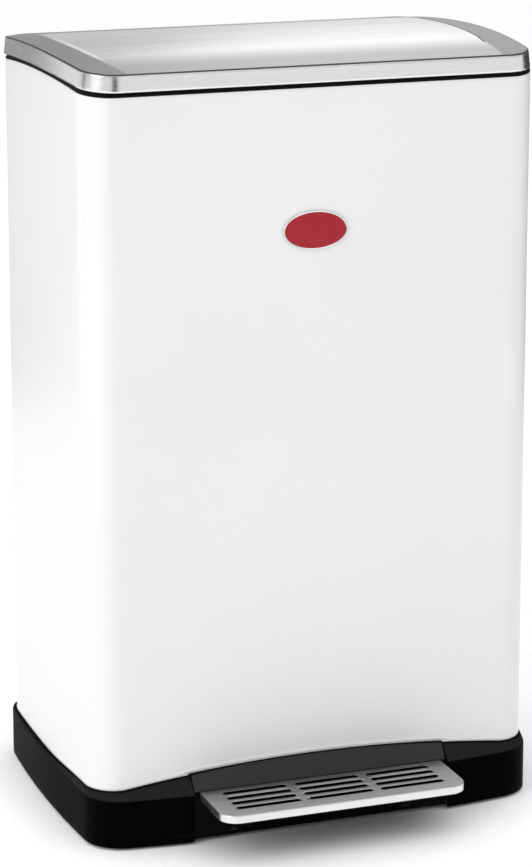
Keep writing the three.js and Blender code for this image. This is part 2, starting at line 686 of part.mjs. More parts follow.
function treadPlate() {
  const slots = [];
  for (const group of [-1, 0, 1]) {
    for (let row = 0; row < SLOT_ROWS; row++) {
      const y = SLOT_FIRST_Y - row * SLOT_ROW_PITCH;
      const reach = (SLOT_LENGTH - SLOT_WIDTH) / 2;
      const x = group * SLOT_GROUP_PITCH;
      slots.push(slotPath([x - reach, y], [x + reach, y], SLOT_WIDTH));
    }
  }
  const under = TREAD_TOP_Z - TREAD_SKIN;
  const top = prism("z", treadShape(0, slots), under, TREAD_TOP_Z);
  const lip = cut(
    prism("z", treadShape(0), TREAD_TOP_Z - TREAD_LIP, under),
    prism("z", treadShape(TREAD_SKIN), TREAD_TOP_Z - TREAD_LIP - 1, under + 1),
  );
  place("tread_plate", join(top, lip), BRUSHED_STEEL);

  const carrierTop = under - GAP;
  const carrierLow = 36.5;
  const block = prism("z", treadShape(TREAD_SKIN + GAP), carrierLow, carrierTop);
  const pockets = [-1, 0, 1].map((group) => {
    const x = group * SLOT_GROUP_PITCH;
    return box([x - 30, x + 30], [TREAD_FRONT_Y + 8, TREAD_BACK_Y - 4], [carrierLow - 1, carrierTop - 2]);
  });
  place("tread_carrier", cut(block, ...pockets), BLACK_MOULDING);
}

// ---------------------------------------------------------------- buckets
function buckets() {
  for (const [side, sign] of [["left", -1], ["right", 1]]) {
    const x = sign * BUCKET_X;
    const top = { ...BUCKET_TOP, centreY: BUCKET_Y };
    const foot = { ...BUCKET_FOOT, centreY: BUCKET_Y };
    const cup = loft(
      [
        ring(foot, BUCKET_FOOT_Z, x),
        ring(top, BUCKET_RIM_Z - 6, x),
        ring(inset(top, -BUCKET_LIP), BUCKET_RIM_Z - 6, x),
        ring(inset(top, -BUCKET_LIP), BUCKET_RIM_Z, x),
        ring(inset(top, BUCKET_WALL), BUCKET_RIM_Z, x),
        ring(inset(foot, BUCKET_WALL), BUCKET_FOOT_Z + BUCKET_WALL, x),
      ],
      false,
    );
    const ears = [-1, 1].map((end) => {
      const y = BUCKET_Y + end * (BUCKET_TOP.depth / 2 + 0.5);
      const tab = [[x - 9, BUCKET_RIM_Z - 5], [x + 9, BUCKET_RIM_Z - 5], [x + 9, BAIL_AXIS_Z], [x + 5, BAIL_AXIS_Z + 5], [x - 5, BAIL_AXIS_Z + 5], [x - 9, BAIL_AXIS_Z]];
      return prism("y", polygon(tab, [circle(BAIL_WIRE + GAP, [x, BAIL_AXIS_Z])]), y - 1.5, y + 1.5);
    });
    place(`bucket_${side}`, join(cup, ...ears), GREY_PLASTIC);
    bail(side, sign, x);
  }
}

// Wire handle: hooks through the ears, then out sideways and across at the grip.
function bail(side, sign, x) {
  const earY = BUCKET_TOP.depth / 2 + 0.5;
  const legY = earY + 6;
  const bend = 24;
  const at = (dx, y) => [x + sign * dx, BUCKET_Y + y, BAIL_AXIS_Z];
  const route = [at(0, -earY + 4), at(0, -legY), at(BAIL_REACH - bend, -legY), at(BAIL_REACH - 7, 7 - legY)];
  route.push(at(BAIL_REACH, bend - legY), at(BAIL_REACH, legY - bend), at(BAIL_REACH - 7, legY - 7));
  route.push(at(BAIL_REACH - bend, legY), at(0, legY), at(0, earY - 4));
  place(`bail_${side}`, bentBar(route, [0, 0, sign], BAIL_WIRE), ZINC_STEEL);

  const gripHalf = 38;
  const spot = [x + sign * BAIL_REACH, BAIL_AXIS_Z];
  const sleeve = cut(
    cylinder("y", 6, BUCKET_Y - gripHalf, BUCKET_Y + gripHalf, spot),
    cylinder("y", BAIL_WIRE + GAP, BUCKET_Y - gripHalf - 1, BUCKET_Y + gripHalf + 1, spot),
  );
  place(`bail_grip_${side}`, sleeve, BLACK_MOULDING);
}

// ---------------------------------------------------------------- assembly
baseMoulding();
feet();
pedalPanel();
bodyShell();
floorDeck();
topRim();
lidBuffers();
badge();
lidSkin();
lidLiner();
hinges();
lidLug();
liftRod();
rodGuides();
pedalLinkage();
treadPlate();
buckets();

// Centre the bounding box over the origin: the tread is foremost and the base reaches furthest back.
binGroup.position.y = -(TREAD_FRONT_Y + BASE.depth / 2) / 2;

export default binGroup;
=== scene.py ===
"""Pedal bin: coated steel body, bowed black plinth, hinged brushed-steel lid, slotted foot tread.

Sizes are millimetres in the bin's own axes: +X its right, +Y its back, +Z up, with the origin on
the ground under the middle of the body. BinAxes turns them into metres in the frame's axes.
Finishes and the studio are in metres.
"""

from __future__ import annotations

import logging
import math
from dataclasses import astuple, dataclass, field, replace
from enum import Enum
from typing import Callable, Optional, Sequence, Union

import bmesh
import bpy
import numpy as np
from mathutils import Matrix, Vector


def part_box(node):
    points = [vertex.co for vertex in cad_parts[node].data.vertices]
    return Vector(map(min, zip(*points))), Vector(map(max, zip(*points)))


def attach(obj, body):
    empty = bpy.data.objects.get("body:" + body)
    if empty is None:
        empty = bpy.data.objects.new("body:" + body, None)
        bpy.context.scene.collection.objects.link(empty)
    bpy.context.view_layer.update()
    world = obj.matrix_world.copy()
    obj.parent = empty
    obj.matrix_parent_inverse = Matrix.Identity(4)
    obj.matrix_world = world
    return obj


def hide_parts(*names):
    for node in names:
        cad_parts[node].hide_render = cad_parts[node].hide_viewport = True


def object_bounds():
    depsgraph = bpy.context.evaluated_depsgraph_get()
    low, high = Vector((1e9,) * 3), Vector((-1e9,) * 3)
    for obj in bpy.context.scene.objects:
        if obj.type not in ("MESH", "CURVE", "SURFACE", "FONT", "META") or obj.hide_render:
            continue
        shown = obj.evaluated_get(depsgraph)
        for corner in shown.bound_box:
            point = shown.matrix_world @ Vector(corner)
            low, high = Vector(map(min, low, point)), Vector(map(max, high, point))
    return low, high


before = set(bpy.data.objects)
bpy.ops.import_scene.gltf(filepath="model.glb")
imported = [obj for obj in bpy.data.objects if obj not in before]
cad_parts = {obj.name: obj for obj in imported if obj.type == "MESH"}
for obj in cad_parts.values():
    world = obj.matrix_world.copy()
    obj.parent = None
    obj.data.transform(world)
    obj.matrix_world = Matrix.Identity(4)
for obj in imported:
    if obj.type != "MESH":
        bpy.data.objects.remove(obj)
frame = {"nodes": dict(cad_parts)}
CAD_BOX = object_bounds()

Array = np.ndarray
Colour = tuple[float, float, float]
Point = tuple[float, float, float]
Surface = Callable[[Array, Array], Array]
Height = Union[float, Surface]
LOG = logging.getLogger("pedal_bin")
MM = 0.001


# ---------------------------------------------------------------- named options
class Body(Enum):
    """The bodies that pieces ride on."""

    CABINET = "cabinet"
    LID = "lid"
    PEDAL = "pedal"
    PUSH_ROD = "push_rod"
    BUCKET_LEFT = "bucket_left"
    BUCKET_RIGHT = "bucket_right"
    BAIL_LEFT = "bail_left"
    BAIL_RIGHT = "bail_right"


class Side(Enum):
    """Which hand of the bin a part is on, as the sign of its x."""

    LEFT = -1
    RIGHT = 1

    @property
    def word(self) -> str:
        """The side's name as the nodes spell it."""
        return self.name.lower()


class Axis(Enum):
    """A direction that a turned part's own axis can take."""

    X = 0
    Y = 1
    Z = 2


# ---------------------------------------------------------------- sums on arrays
def smoothstep(value: Array, low: float, high: float) -> Array:
    """An even ramp from 0 at low to 1 at high: t squared times (3 - 2t)."""
    t = np.clip((np.asarray(value, float) - low) / (high - low), 0.0, 1.0)
    return t * t * (3.0 - 2.0 * t)


def bell(value: Array, width: float) -> Array:
    """1 at zero and falling away on both sides: exp of minus (value over width) squared."""
    return np.exp(-((np.asarray(value, float) / width) ** 2))


def around(steps: int) -> tuple[Array, Array]:
    """The cosines and sines of even steps once round."""
    angle = np.linspace(0, 2 * np.pi, steps, endpoint=False)
    return np.cos(angle), np.sin(angle)


# ---------------------------------------------------------------- skins
@dataclass
class Skin:
    """Points with the quads and triangles between them, in millimetres in the bin's axes."""

    points: Array
    quads: Array = field(default_factory=lambda: np.zeros((0, 4), int))
    tris: Array = field(default_factory=lambda: np.zeros((0, 3), int))

    def __add__(self, other: "Skin") -> "Skin":
        """Both skins as one, with the second one's faces renumbered."""
        base = len(self.points)
        return Skin(
            np.concatenate([self.points, other.points]),
            np.concatenate([self.quads, other.quads + base]),
            np.concatenate([self.tris, other.tris + base]),
        )

    @staticmethod
    def grid(
        points: Array, wrap_rows: bool = False, wrap_columns: bool = False, flip: bool = False
    ) -> "Skin":
        """Quads between neighbouring rows and columns of a grid of points.

        Args:
            points: rows x columns x 3 array.
            wrap_rows: join the last row to the first.
            wrap_columns: join the last column to the first.
            flip: face the other way.

        Returns:
            The skin, whose quad (i, j) runs j, j+1 on row i and back along row i+1.
        """
        rows, columns = points.shape[:2]
        index = np.arange(rows * columns).reshape(rows, columns)
        if wrap_rows:
            index = np.concatenate([index, index[:1]], axis=0)
        if wrap_columns:
            index = np.concatenate([index, index[:, :1]], axis=1)
        corners = [index[:-1, :-1], index[:-1, 1:], index[1:, 1:], index[1:, :-1]]
        quads = np.stack([corner.ravel() for corner in corners], axis=1)
        return Skin(points.reshape(-1, 3), quads[:, ::-1] if flip else quads)

    @staticmethod
    def cap(loop: Array, flip: bool = False) -> "Skin":
        """Triangles from a loop's points to their mean, which closes its end."""
        count = len(loop)
        ring = np.arange(count)
        tris = np.stack([ring, np.roll(ring, -1), np.full(count, count)], axis=1)
        return Skin(np.vstack([loop, loop.mean(axis=0)]), tris=tris[:, ::-1] if flip else tris)

    @staticmethod
    def loft(rings: Sequence[Array], closed: bool = False) -> "Skin":
        """Rings skinned in order; a closed skin meets its first ring again, an open one is capped."""
        skin = Skin.grid(np.stack(rings), wrap_rows=closed, wrap_columns=True)
        if not closed:
            skin = skin + Skin.cap(rings[0], flip=True) + Skin.cap(rings[-1])
        return skin


def lathe(profile: Sequence[tuple[float, float]], steps: int = 40, closed: bool = False) -> Skin:
    """A profile turned about Z: point (i, j) is (r_i cos a_j, r_i sin a_j, h_i), where a_j runs once round.

    Args:
        profile: (radius, height) pairs, with both ends on the axis unless it is closed.
        steps: how many points there are once round.
        closed: join the profile's end to its start, for a sleeve.

    Returns:
        The skin.
    """
    radius, height = np.array(profile, float).T
    cos, sin = around(steps)
    x, y, z = np.outer(radius, cos), np.outer(radius, sin), np.outer(height, np.ones(steps))
    return Skin.grid(np.stack([x, y, z], axis=-1), wrap_rows=closed, wrap_columns=True)


def turned(skin: Skin, axis: Axis, centre: Sequence[float], reverse: bool = False) -> Skin:
    """A skin made about Z, laid along an axis and moved to a centre; reverse points it the other way."""
    x, y, z = skin.points.T
    if reverse:
        y, z = -y, -z
    order = {Axis.X: (z, x, y), Axis.Y: (y, z, x), Axis.Z: (x, y, z)}[axis]
    return Skin(np.stack(order, axis=1) + np.array(centre, float), skin.quads, skin.tris)


def block(x: Sequence[float], y: Sequence[float], z: Sequence[float]) -> Skin:
    """A cutter with six flat sides between the given pairs of places."""
    corner = np.array([(x[0], y[0]), (x[1], y[0]), (x[1], y[1]), (x[0], y[1])], float)
    return Skin.loft([np.column_stack([corner, np.full(4, height)]) for height in z])


def rounded_route(corners: Sequence[Sequence[float]], radii: Sequence[float], steps: int = 12) -> Array:
    """A polyline whose inner corners are replaced by curves.

    At each corner the path leaves the straight at the given distance and follows
    (1-t)^2 a + 2t(1-t) corner + t^2 b.
    """
    knots = np.array(corners, float)
    t = np.linspace(0, 1, steps)[:, None]
    parts = [knots[:1]]
    for before, corner, after, radius in zip(knots[:-2], knots[1:-1], knots[2:], radii):
        a = corner + radius * (before - corner) / np.linalg.norm(before - corner)
        b = corner + radius * (after - corner) / np.linalg.norm(after - corner)
        parts.append((1 - t) ** 2 * a + 2 * t * (1 - t) * corner + t**2 * b)
    return np.concatenate([*parts, knots[-1:]])


def bar(route: Array, radius: float, normal: Sequence[float], sides: int = 16) -> Skin:
    """A round bar along a flat route, with slightly rounded ends.

    Each ring is centre + r (cos a * across + sin a * normal), where across is normal x direction.
    """
    end_length, end_size = 0.35, 0.7
    direction = np.gradient(route, axis=0)
    direction /= np.linalg.norm(direction, axis=1, keepdims=True)
    normal = np.array(normal, float)
    across = np.cross(normal, direction)
    start = route[0] + direction[0] * end_length * radius
    finish = route[-1] - direction[-1] * end_length * radius
    centres = np.vstack([route[0], start, route[1:-1], finish, route[-1]])
    side = np.vstack([across[0], across, across[-1]])
    size = np.full(len(centres), radius)
    size[[0, -1]] = radius * end_size
    cos, sin = around(sides)
    spoke = cos[None, :, None] * side[:, None, :] + sin[None, :, None] * normal
    return Skin.loft(list(centres[:, None, :] + size[:, None, None] * spoke))


@dataclass(frozen=True)
class Casing:
    """Rounded rectangle seen from above, whose sides and front may bow outwards."""

    width: float
    depth: float
    corner: float
    side_bow: float = 0.0
    front_bow: float = 0.0
    centre_y: float = 0.0
    centre_x: float = 0.0

    def inset(self, by: float, least_corner: float = 1.5) -> "Casing":
        """The same casing drawn in by a distance all round."""
        corner = max(self.corner - by, least_corner)
        return replace(self, width=self.width - 2 * by, depth=self.depth - 2 * by, corner=corner)

    def toward(self, other: "Casing", share: float) -> "Casing":
        """The casing part of the way to another."""
        mix = (1 - share) * np.array(astuple(self)) + share * np.array(astuple(other))
        return Casing(*mix.tolist())

    def edges(self) -> tuple[Array, Array, Array]:
        """The front, side and back of the outline's right half, without the corners between them."""
        half_w, half_d = self.width / 2, self.depth / 2
        flat_x, flat_y = half_w - self.corner, half_d - self.corner
        s, t = np.linspace(0, 1, 29), np.linspace(0, 1, 31)
        front = np.stack([flat_x * s, -half_d - self.front_bow * (1 - s**2)], axis=1)
        side = np.stack([half_w + self.side_bow * 4 * t * (1 - t), flat_y * (2 * t - 1)], axis=1)
        back = np.stack([flat_x * np.linspace(1, 0, 33) ** 1.9, np.full(33, half_d)], axis=1)
        return front, side, back

    def half(self) -> tuple[Array, ...]:
        """The outline's right half in five parts, from the middle of the front to the middle of the back.

        Front and sides are parabolas 4t(1-t) high; each corner is one cubic between them that leaves
        both along their own direction, so that the edge has no kink.
        """
        front, side, back = self.edges()
        lean_front = np.array([1.0, 2 * self.front_bow / (self.width / 2 - self.corner)])
        lean_side = np.array([2 * self.side_bow / (self.depth / 2 - self.corner), 1.0])
        corner = self._bend(front[-1], lean_front, side[0], lean_side)
        rear = self._bend(side[-1], np.array([-lean_side[0], 1.0]), back[0], np.array([-1.0, 0.0]))
        return tuple(part + [0.0, self.centre_y] for part in (front, corner, side, rear, back))

    @staticmethod
    def _bend(start: Array, along: Array, end: Array, onward: Array) -> Array:
        """Inner points of a cubic from one edge to the next, as near a circle's arc as a cubic comes."""
        along = along / np.linalg.norm(along)
        onward = onward / np.linalg.norm(onward)
        turn = math.acos(float(np.clip(along @ onward, -1, 1)))
        radius = float(np.linalg.norm(end - start)) / (2 * math.sin(turn / 2))
        arm = 4 / 3 * math.tan(turn / 4) * radius
        t = np.linspace(0, 1, 19)[1:-1, None]
        leave, arrive = start + arm * along, end - arm * onward
        return (1 - t) ** 3 * start + 3 * (1 - t) ** 2 * t * leave + 3 * (1 - t) * t**2 * arrive + t**3 * end

    def outline(self) -> Array:
        """The whole outline, anticlockwise from above, from the middle of the front."""
        right = np.concatenate(self.half())
        left = right[-2:0:-1] * [-1.0, 1.0]
        return np.concatenate([right, left]) + [self.centre_x, 0.0]

    def ring(self, height: Height) -> Array:
        """The outline with a height that is a number or a function of x and y."""
        x, y = self.outline().T
        z = height(x, y) if callable(height) else np.full(len(x), float(height))
        return np.stack([x, y, z], axis=1)

    def half_width_at(self, y: Array) -> Array:
        """How far the outline reaches in x at each y."""
        front, corner, side, rear, back = self.half()
        edge = np.concatenate([front[-1:], corner, side, rear, back[:1]])
        return np.interp(y, edge[:, 1], edge[:, 0])


# ---------------------------------------------------------------- shader sums
class Board:
    """One material's nodes, with a method that adds any node."""

    def __init__(self, name: str) -> None:
        """Start a material that holds only its output and its main shader."""
        self.material = bpy.data.materials.new(name)
        self.material.use_nodes = True
        self.tree = self.material.node_tree
        self.tree.nodes.clear()
        output = self.tree.nodes.new("ShaderNodeOutputMaterial")
        self.shader = self.tree.nodes.new("ShaderNodeBsdfPrincipled")
        self.tree.links.new(self.shader.outputs["BSDF"], output.inputs["Surface"])

    def node(self, kind: str, settings: Optional[dict] = None, **inputs: object) -> bpy.types.Node:
        """Add a node.

        Args:
            kind: the node's type without its "ShaderNode" start.
            settings: properties, set first.
            inputs: values or links by socket name, with _ for a space, or i0, i1 by number.

        Returns:
            The node.
        """
        made = self.tree.nodes.new("ShaderNode" + kind)
        for name, value in (settings or {}).items():
            setattr(made, name, value)
        for name, value in inputs.items():
            numbered = name[0] == "i" and name[1:].isdigit()
            self.feed(made.inputs[int(name[1:]) if numbered else name.replace("_", " ")], value)
        return made

    def feed(self, socket: bpy.types.NodeSocket, value: object) -> None:
        """Link a socket, or set its plain value."""
        if isinstance(value, Value):
            self.tree.links.new(value.socket, socket)
        elif isinstance(value, bpy.types.NodeSocket):
            self.tree.links.new(value, socket)
        elif isinstance(value, tuple) and len(value) == 3 and socket.type == "RGBA":
            socket.default_value = (*value, 1.0)
        else:
            socket.default_value = value

    def set(self, **inputs: object) -> None:
        """Set or link the main shader's sockets."""
        for name, value in inputs.items():
            self.feed(self.shader.inputs[name.replace("_", " ")], value)

    def coordinate(self, kind: str = "Object") -> bpy.types.NodeSocket:
        """One of the texture coordinates."""
        return self.node("TexCoord").outputs[kind]

    def place(self, kind: str = "Object") -> tuple["Value", "Value", "Value"]:
        """The x, y and z of a point on the piece, in metres, or of another coordinate."""
        split = self.node("SeparateXYZ", Vector=self.coordinate(kind))
        return tuple(Value(self, socket) for socket in split.outputs)

    def noise(
        self, scale: float, stretch: Point = (1.0, 1.0, 1.0), detail: float = 2.0, rough: float = 0.5
    ) -> "Value":
        """Smooth noise with scale lumps a metre, drawn out along an axis by a stretch below 1."""
        spread = self.node("Mapping", Vector=self.coordinate(), Scale=stretch)
        vector = spread.outputs["Vector"]
        lumps = self.node("TexNoise", Vector=vector, Scale=scale, Detail=detail, Roughness=rough)
        return Value(self, lumps.outputs["Fac"])

    def ramp(self, value: "Value", low: float, high: float, start: float = 0.0, end: float = 1.0) -> "Value":
        """Carry value smoothly from start at low to end at high."""
        limits = {"From_Min": low, "From_Max": high, "To_Min": start, "To_Max": end}
        made = self.node("MapRange", {"interpolation_type": "SMOOTHSTEP"}, Value=value, **limits)
        return Value(self, made.outputs["Result"])

    def blend(self, factor: object, first: object, second: object) -> bpy.types.NodeSocket:
        """A colour between two colours."""
        mix = self.node("Mix", {"data_type": "RGBA"}, i0=factor, i6=first, i7=second)
        return mix.outputs[2]

    def bump(
        self, height: "Value", depth: float, strength: float, under: Optional[bpy.types.NodeSocket] = None
    ) -> bpy.types.NodeSocket:
        """A normal tilted by a height from 0 to 1, which stands for depth in metres."""
        made = self.node("Bump", Height=height, Distance=depth, Strength=strength)
        if under is not None:
            self.feed(made.inputs["Normal"], under)
        return made.outputs["Normal"]


class Value:
    """A number socket that sums can be written with; each sum adds a Math node."""

    def __init__(self, board: Board, socket: bpy.types.NodeSocket) -> None:
        """Wrap a socket of that board."""
        self.board = board
        self.socket = socket

    def _math(self, operation: str, first: object, second: object = None) -> "Value":
        """Add one Math node on one or two values."""
        inputs = {"i0": first} if second is None else {"i0": first, "i1": second}
        return Value(self.board, self.board.node("Math", {"operation": operation}, **inputs).outputs[0])

    def __add__(self, other: object) -> "Value":
        """self + other."""
        return self._math("ADD", self, other)

    def __sub__(self, other: object) -> "Value":
        """self - other."""
        return self._math("SUBTRACT", self, other)

    def __rsub__(self, other: object) -> "Value":
        """other - self."""
        return self._math("SUBTRACT", other, self)

    def __mul__(self, other: object) -> "Value":
        """self * other."""
        return self._math("MULTIPLY", self, other)

    def __truediv__(self, other: object) -> "Value":
        """self / other."""
        return self._math("DIVIDE", self, other)

    def __abs__(self) -> "Value":
        """The size of self without its sign."""
        return self._math("ABSOLUTE", self)

    def least(self, other: object) -> "Value":
        """The lower of self and other."""
        return self._math("MINIMUM", self, other)

    def most(self, other: object) -> "Value":
        """The higher of self and other."""
        return self._math("MAXIMUM", self, other)

    __radd__ = __add__
    __rmul__ = __mul__


# ---------------------------------------------------------------- finishes
@dataclass(frozen=True)
class PowderCoat:
    """Baked powder coat: an even colour, a soft gloss and the faint pebbling that the powder leaves."""

    colour: Colour = (0.83, 0.832, 0.82)
    shade: Colour = (0.81, 0.812, 0.8)
    gloss: float = 0.33
    peel: float = 420.0
    depth: float = 0.00001

    def build(self, name: str) -> bpy.types.Material:
        """The coat as a material."""
        board = Board(name)
        drift = board.noise(5.0, detail=3.0)
        peel = board.noise(self.peel, detail=2.0, rough=0.45)
        board.set(
            Base_Color=board.blend(board.ramp(drift, 0.35, 0.7), self.colour, self.shade),
            Roughness=self.gloss + (board.noise(60.0) - 0.5) * 0.08 + (peel - 0.5) * 0.05,
            Normal=board.bump(peel, self.depth, 0.5, board.bump(drift, 0.0004, 0.1)),
            Coat_Weight=0.15,
            Coat_Roughness=0.18,
        )
        return board.material


@dataclass(frozen=True)
class TopLine:
    """The plinth's top edge in metres: base + rise (1 - (x / reach)^2), less drop along the sides."""

    base: float
    rise: float
    reach: float
    drop: float
    drop_from: float
    drop_to: float
    ends: float = 1.0
    band: tuple[float, float] = (-0.0013, -0.0007)
    side_band: tuple[float, float] = (-0.002, -0.0014)

    def mask(self, board: Board) -> Value:
        """1 in the last millimetre under the edge and beside the ends, 0 elsewhere: bands left out of the
        painted sheen, as painted shade in the gap under the edge and on the faces beside the panel's ends.
        """
        x, y, z = board.place()
        across = (abs(x) / self.reach).least(1.0)
        fall = board.ramp(y, self.drop_from, self.drop_to, 0.0, self.drop)
        height = z + across * across * self.rise + fall - (self.base + self.rise)
        side = board.ramp(abs(x), *(self.ends + place for place in self.side_band))
        return board.ramp(height, *self.band).most(side)


@dataclass(frozen=True)
class Moulding:
    """Injection-moulded plastic: a fine sparked grain, faint flow marks, and scuffs low down.

    Where a sheen height is set, what lies above it gets the lighter upper colour: a painted sheen for the
    light that falls on the upward slope. A dark band along its top edge is left out of it, as painted shade
    in the gap under the edge.
    in the shut line along its top edge.
    """

    colour: Colour = (0.0035, 0.0035, 0.0037)
    scuff: Colour = (0.009, 0.009, 0.0095)
    gloss: float = 0.46
    grain: float = 1500.0
    depth: float = 0.00004
    shine: float = 0.08
    scuff_height: float = 0.02
    upper_z: Optional[float] = None
    # painted sheen colour for the upward slope, lighter only because light falls on it
    upper: Colour = (0.016, 0.016, 0.0164)
    line: Optional[TopLine] = None
    flow_lift: float = 1.25

    def build(self, name: str) -> bpy.types.Material:
        """The plastic as a material."""
        board = Board(name)
        grain = board.noise(self.grain, detail=2.0, rough=0.6)
        flow = board.noise(14.0, (1.0, 1.0, 0.35), detail=3.0)
        height = board.place()[2]
        low = board.ramp(height, 0.0, self.scuff_height, 1.0, 0.0)
        marks = board.ramp(board.noise(55.0, (0.25, 0.25, 1.6), detail=4.0, rough=0.65), 0.52, 0.72)
        worn = marks * (low * 0.8 + 0.08)
        colour = board.blend(flow, self.colour, tuple(self.flow_lift * c for c in self.colour))
        # painted sheen: the part above the sheen height is lighter, for the light that falls on the upward
        # slope
        if self.upper_z is not None:
            upper = board.ramp(height, self.upper_z - 0.001, self.upper_z + 0.0006)
            # painted shade: the top line's bands stay dark, for the gap under the edge and the faces beside
            # the panel's ends
            if self.line is not None:
                upper = upper * (1.0 - self.line.mask(board))
            colour = board.blend(upper, colour, self.upper)
        board.set(
            Base_Color=board.blend(worn, colour, self.scuff),
            Roughness=self.gloss + (grain - 0.5) * 0.14 + (flow - 0.5) * 0.08 + worn * 0.12,
            Specular_IOR_Level=self.shine,
            Normal=board.bump(grain, self.depth, 0.45, board.bump(flow, 0.0006, 0.12)),
        )
        return board.material


@dataclass(frozen=True)
class CreaseLine:
    """Where the lid's raised panel stops: |x| = reach - draw ((y - middle) / span)^2, in metres.

    The lid's top follows base + rise (1 - ((y - body_y) / half_depth)^2).
    """

    reach: float
    draw: float
    middle: float
    span: float
    front: float
    rear: float
    base: float
    rise: float
    body_y: float
    half_depth: float
    line_inside: float = 0.0011
    # painted shade: the panel greys towards its front and back ends, where its highlight fades
    front_fade: float = 0.055
    front_worn: float = 0.7
    rear_fade: float = 0.05
    rear_worn: float = 0.8

    def level(self, board: Board) -> Value:
        """Height over the arch that the lid's top follows: 0 at the outline, and lower down the fold."""
        _, y, z = board.place()
        back = (y - self.body_y) / self.half_depth
        return z + back * back * self.rise - (self.base + self.rise)

    def beyond(self, board: Board) -> Value:
        """Distance outwards from the crease."""
        x, y, _ = board.place()
        along = (y - self.middle) / self.span
        return abs(x) + along * along * self.draw - self.reach

    def fold(self, board: Board) -> Value:
        """1 on the upper half of the fold, which gets a dark painted shade."""
        level = self.level(board)
        return board.ramp(level, -0.0002, -0.00006, 1.0, 0.0) * board.ramp(level, -0.0015, -0.0011)

    def skirt(self, board: Board) -> Value:
        """1 on the upright skirt."""
        return board.ramp(self.level(board), -0.0022, -0.0015, 1.0, 0.0)

    def shut_line(self, board: Board) -> Value:
        """1 in the fine dark line along the crest of the right-hand crease: painted shade for the dark side
        that the crease reflects.
        """
        x, y, _ = board.place()
        edge = abs(self.beyond(board) + self.line_inside)
        start = board.ramp(y, self.front + 0.022, self.front + 0.03)
        end = board.ramp(y, self.rear - 0.02, self.rear - 0.01, 1.0, 0.0)
        return board.ramp(edge, 0.0009, 0.0013, 1.0, 0.0) * board.ramp(x, 0.0, 0.01) * (start * end)

    def mask(self, board: Board) -> Value:
        """1 outside the panel, 0 on it, with a crisp edge along the crease and soft ends: where the painted
        shade of the greyer wings and of the dimmer ends goes.
        """
        y = board.place()[1]
        on_top = board.ramp(self.level(board), -0.0016, -0.0006)
        front = board.ramp(y, self.front, self.front + self.front_fade, self.front_worn, 0.0)
        rear = board.ramp(y, self.rear - self.rear_fade, self.rear, 0.0, self.rear_worn)
        return board.ramp(self.beyond(board), 0.0008, 0.0018).most(front + rear) * on_top


@dataclass(frozen=True)
class SlotShade:
    """Painted shade on the tread: black on the walls of its slots, which lie below its face and well inside
    its lip, in metres, and grey on its face.
    """

    face_z: float
    reach_x: float
    front_y: float

    def mask(self, board: Board) -> Value:
        """1 on the slots' walls, 0 on the face and the lip."""
        x, y, z = board.place()
        below = board.ramp(z, self.face_z - 0.00006, self.face_z - 0.00001, 1.0, 0.0)
        across = board.ramp(abs(x), self.reach_x - MM, self.reach_x, 1.0, 0.0)
        return below * across * board.ramp(y, self.front_y, self.front_y + MM)

    def face(self, board: Board) -> Value:
        """1 on the tread's top face, 0 below its fold: where the greyer painted shade goes."""
        return board.ramp(board.place()[2], self.face_z - 0.0009, self.face_z - 0.0001)


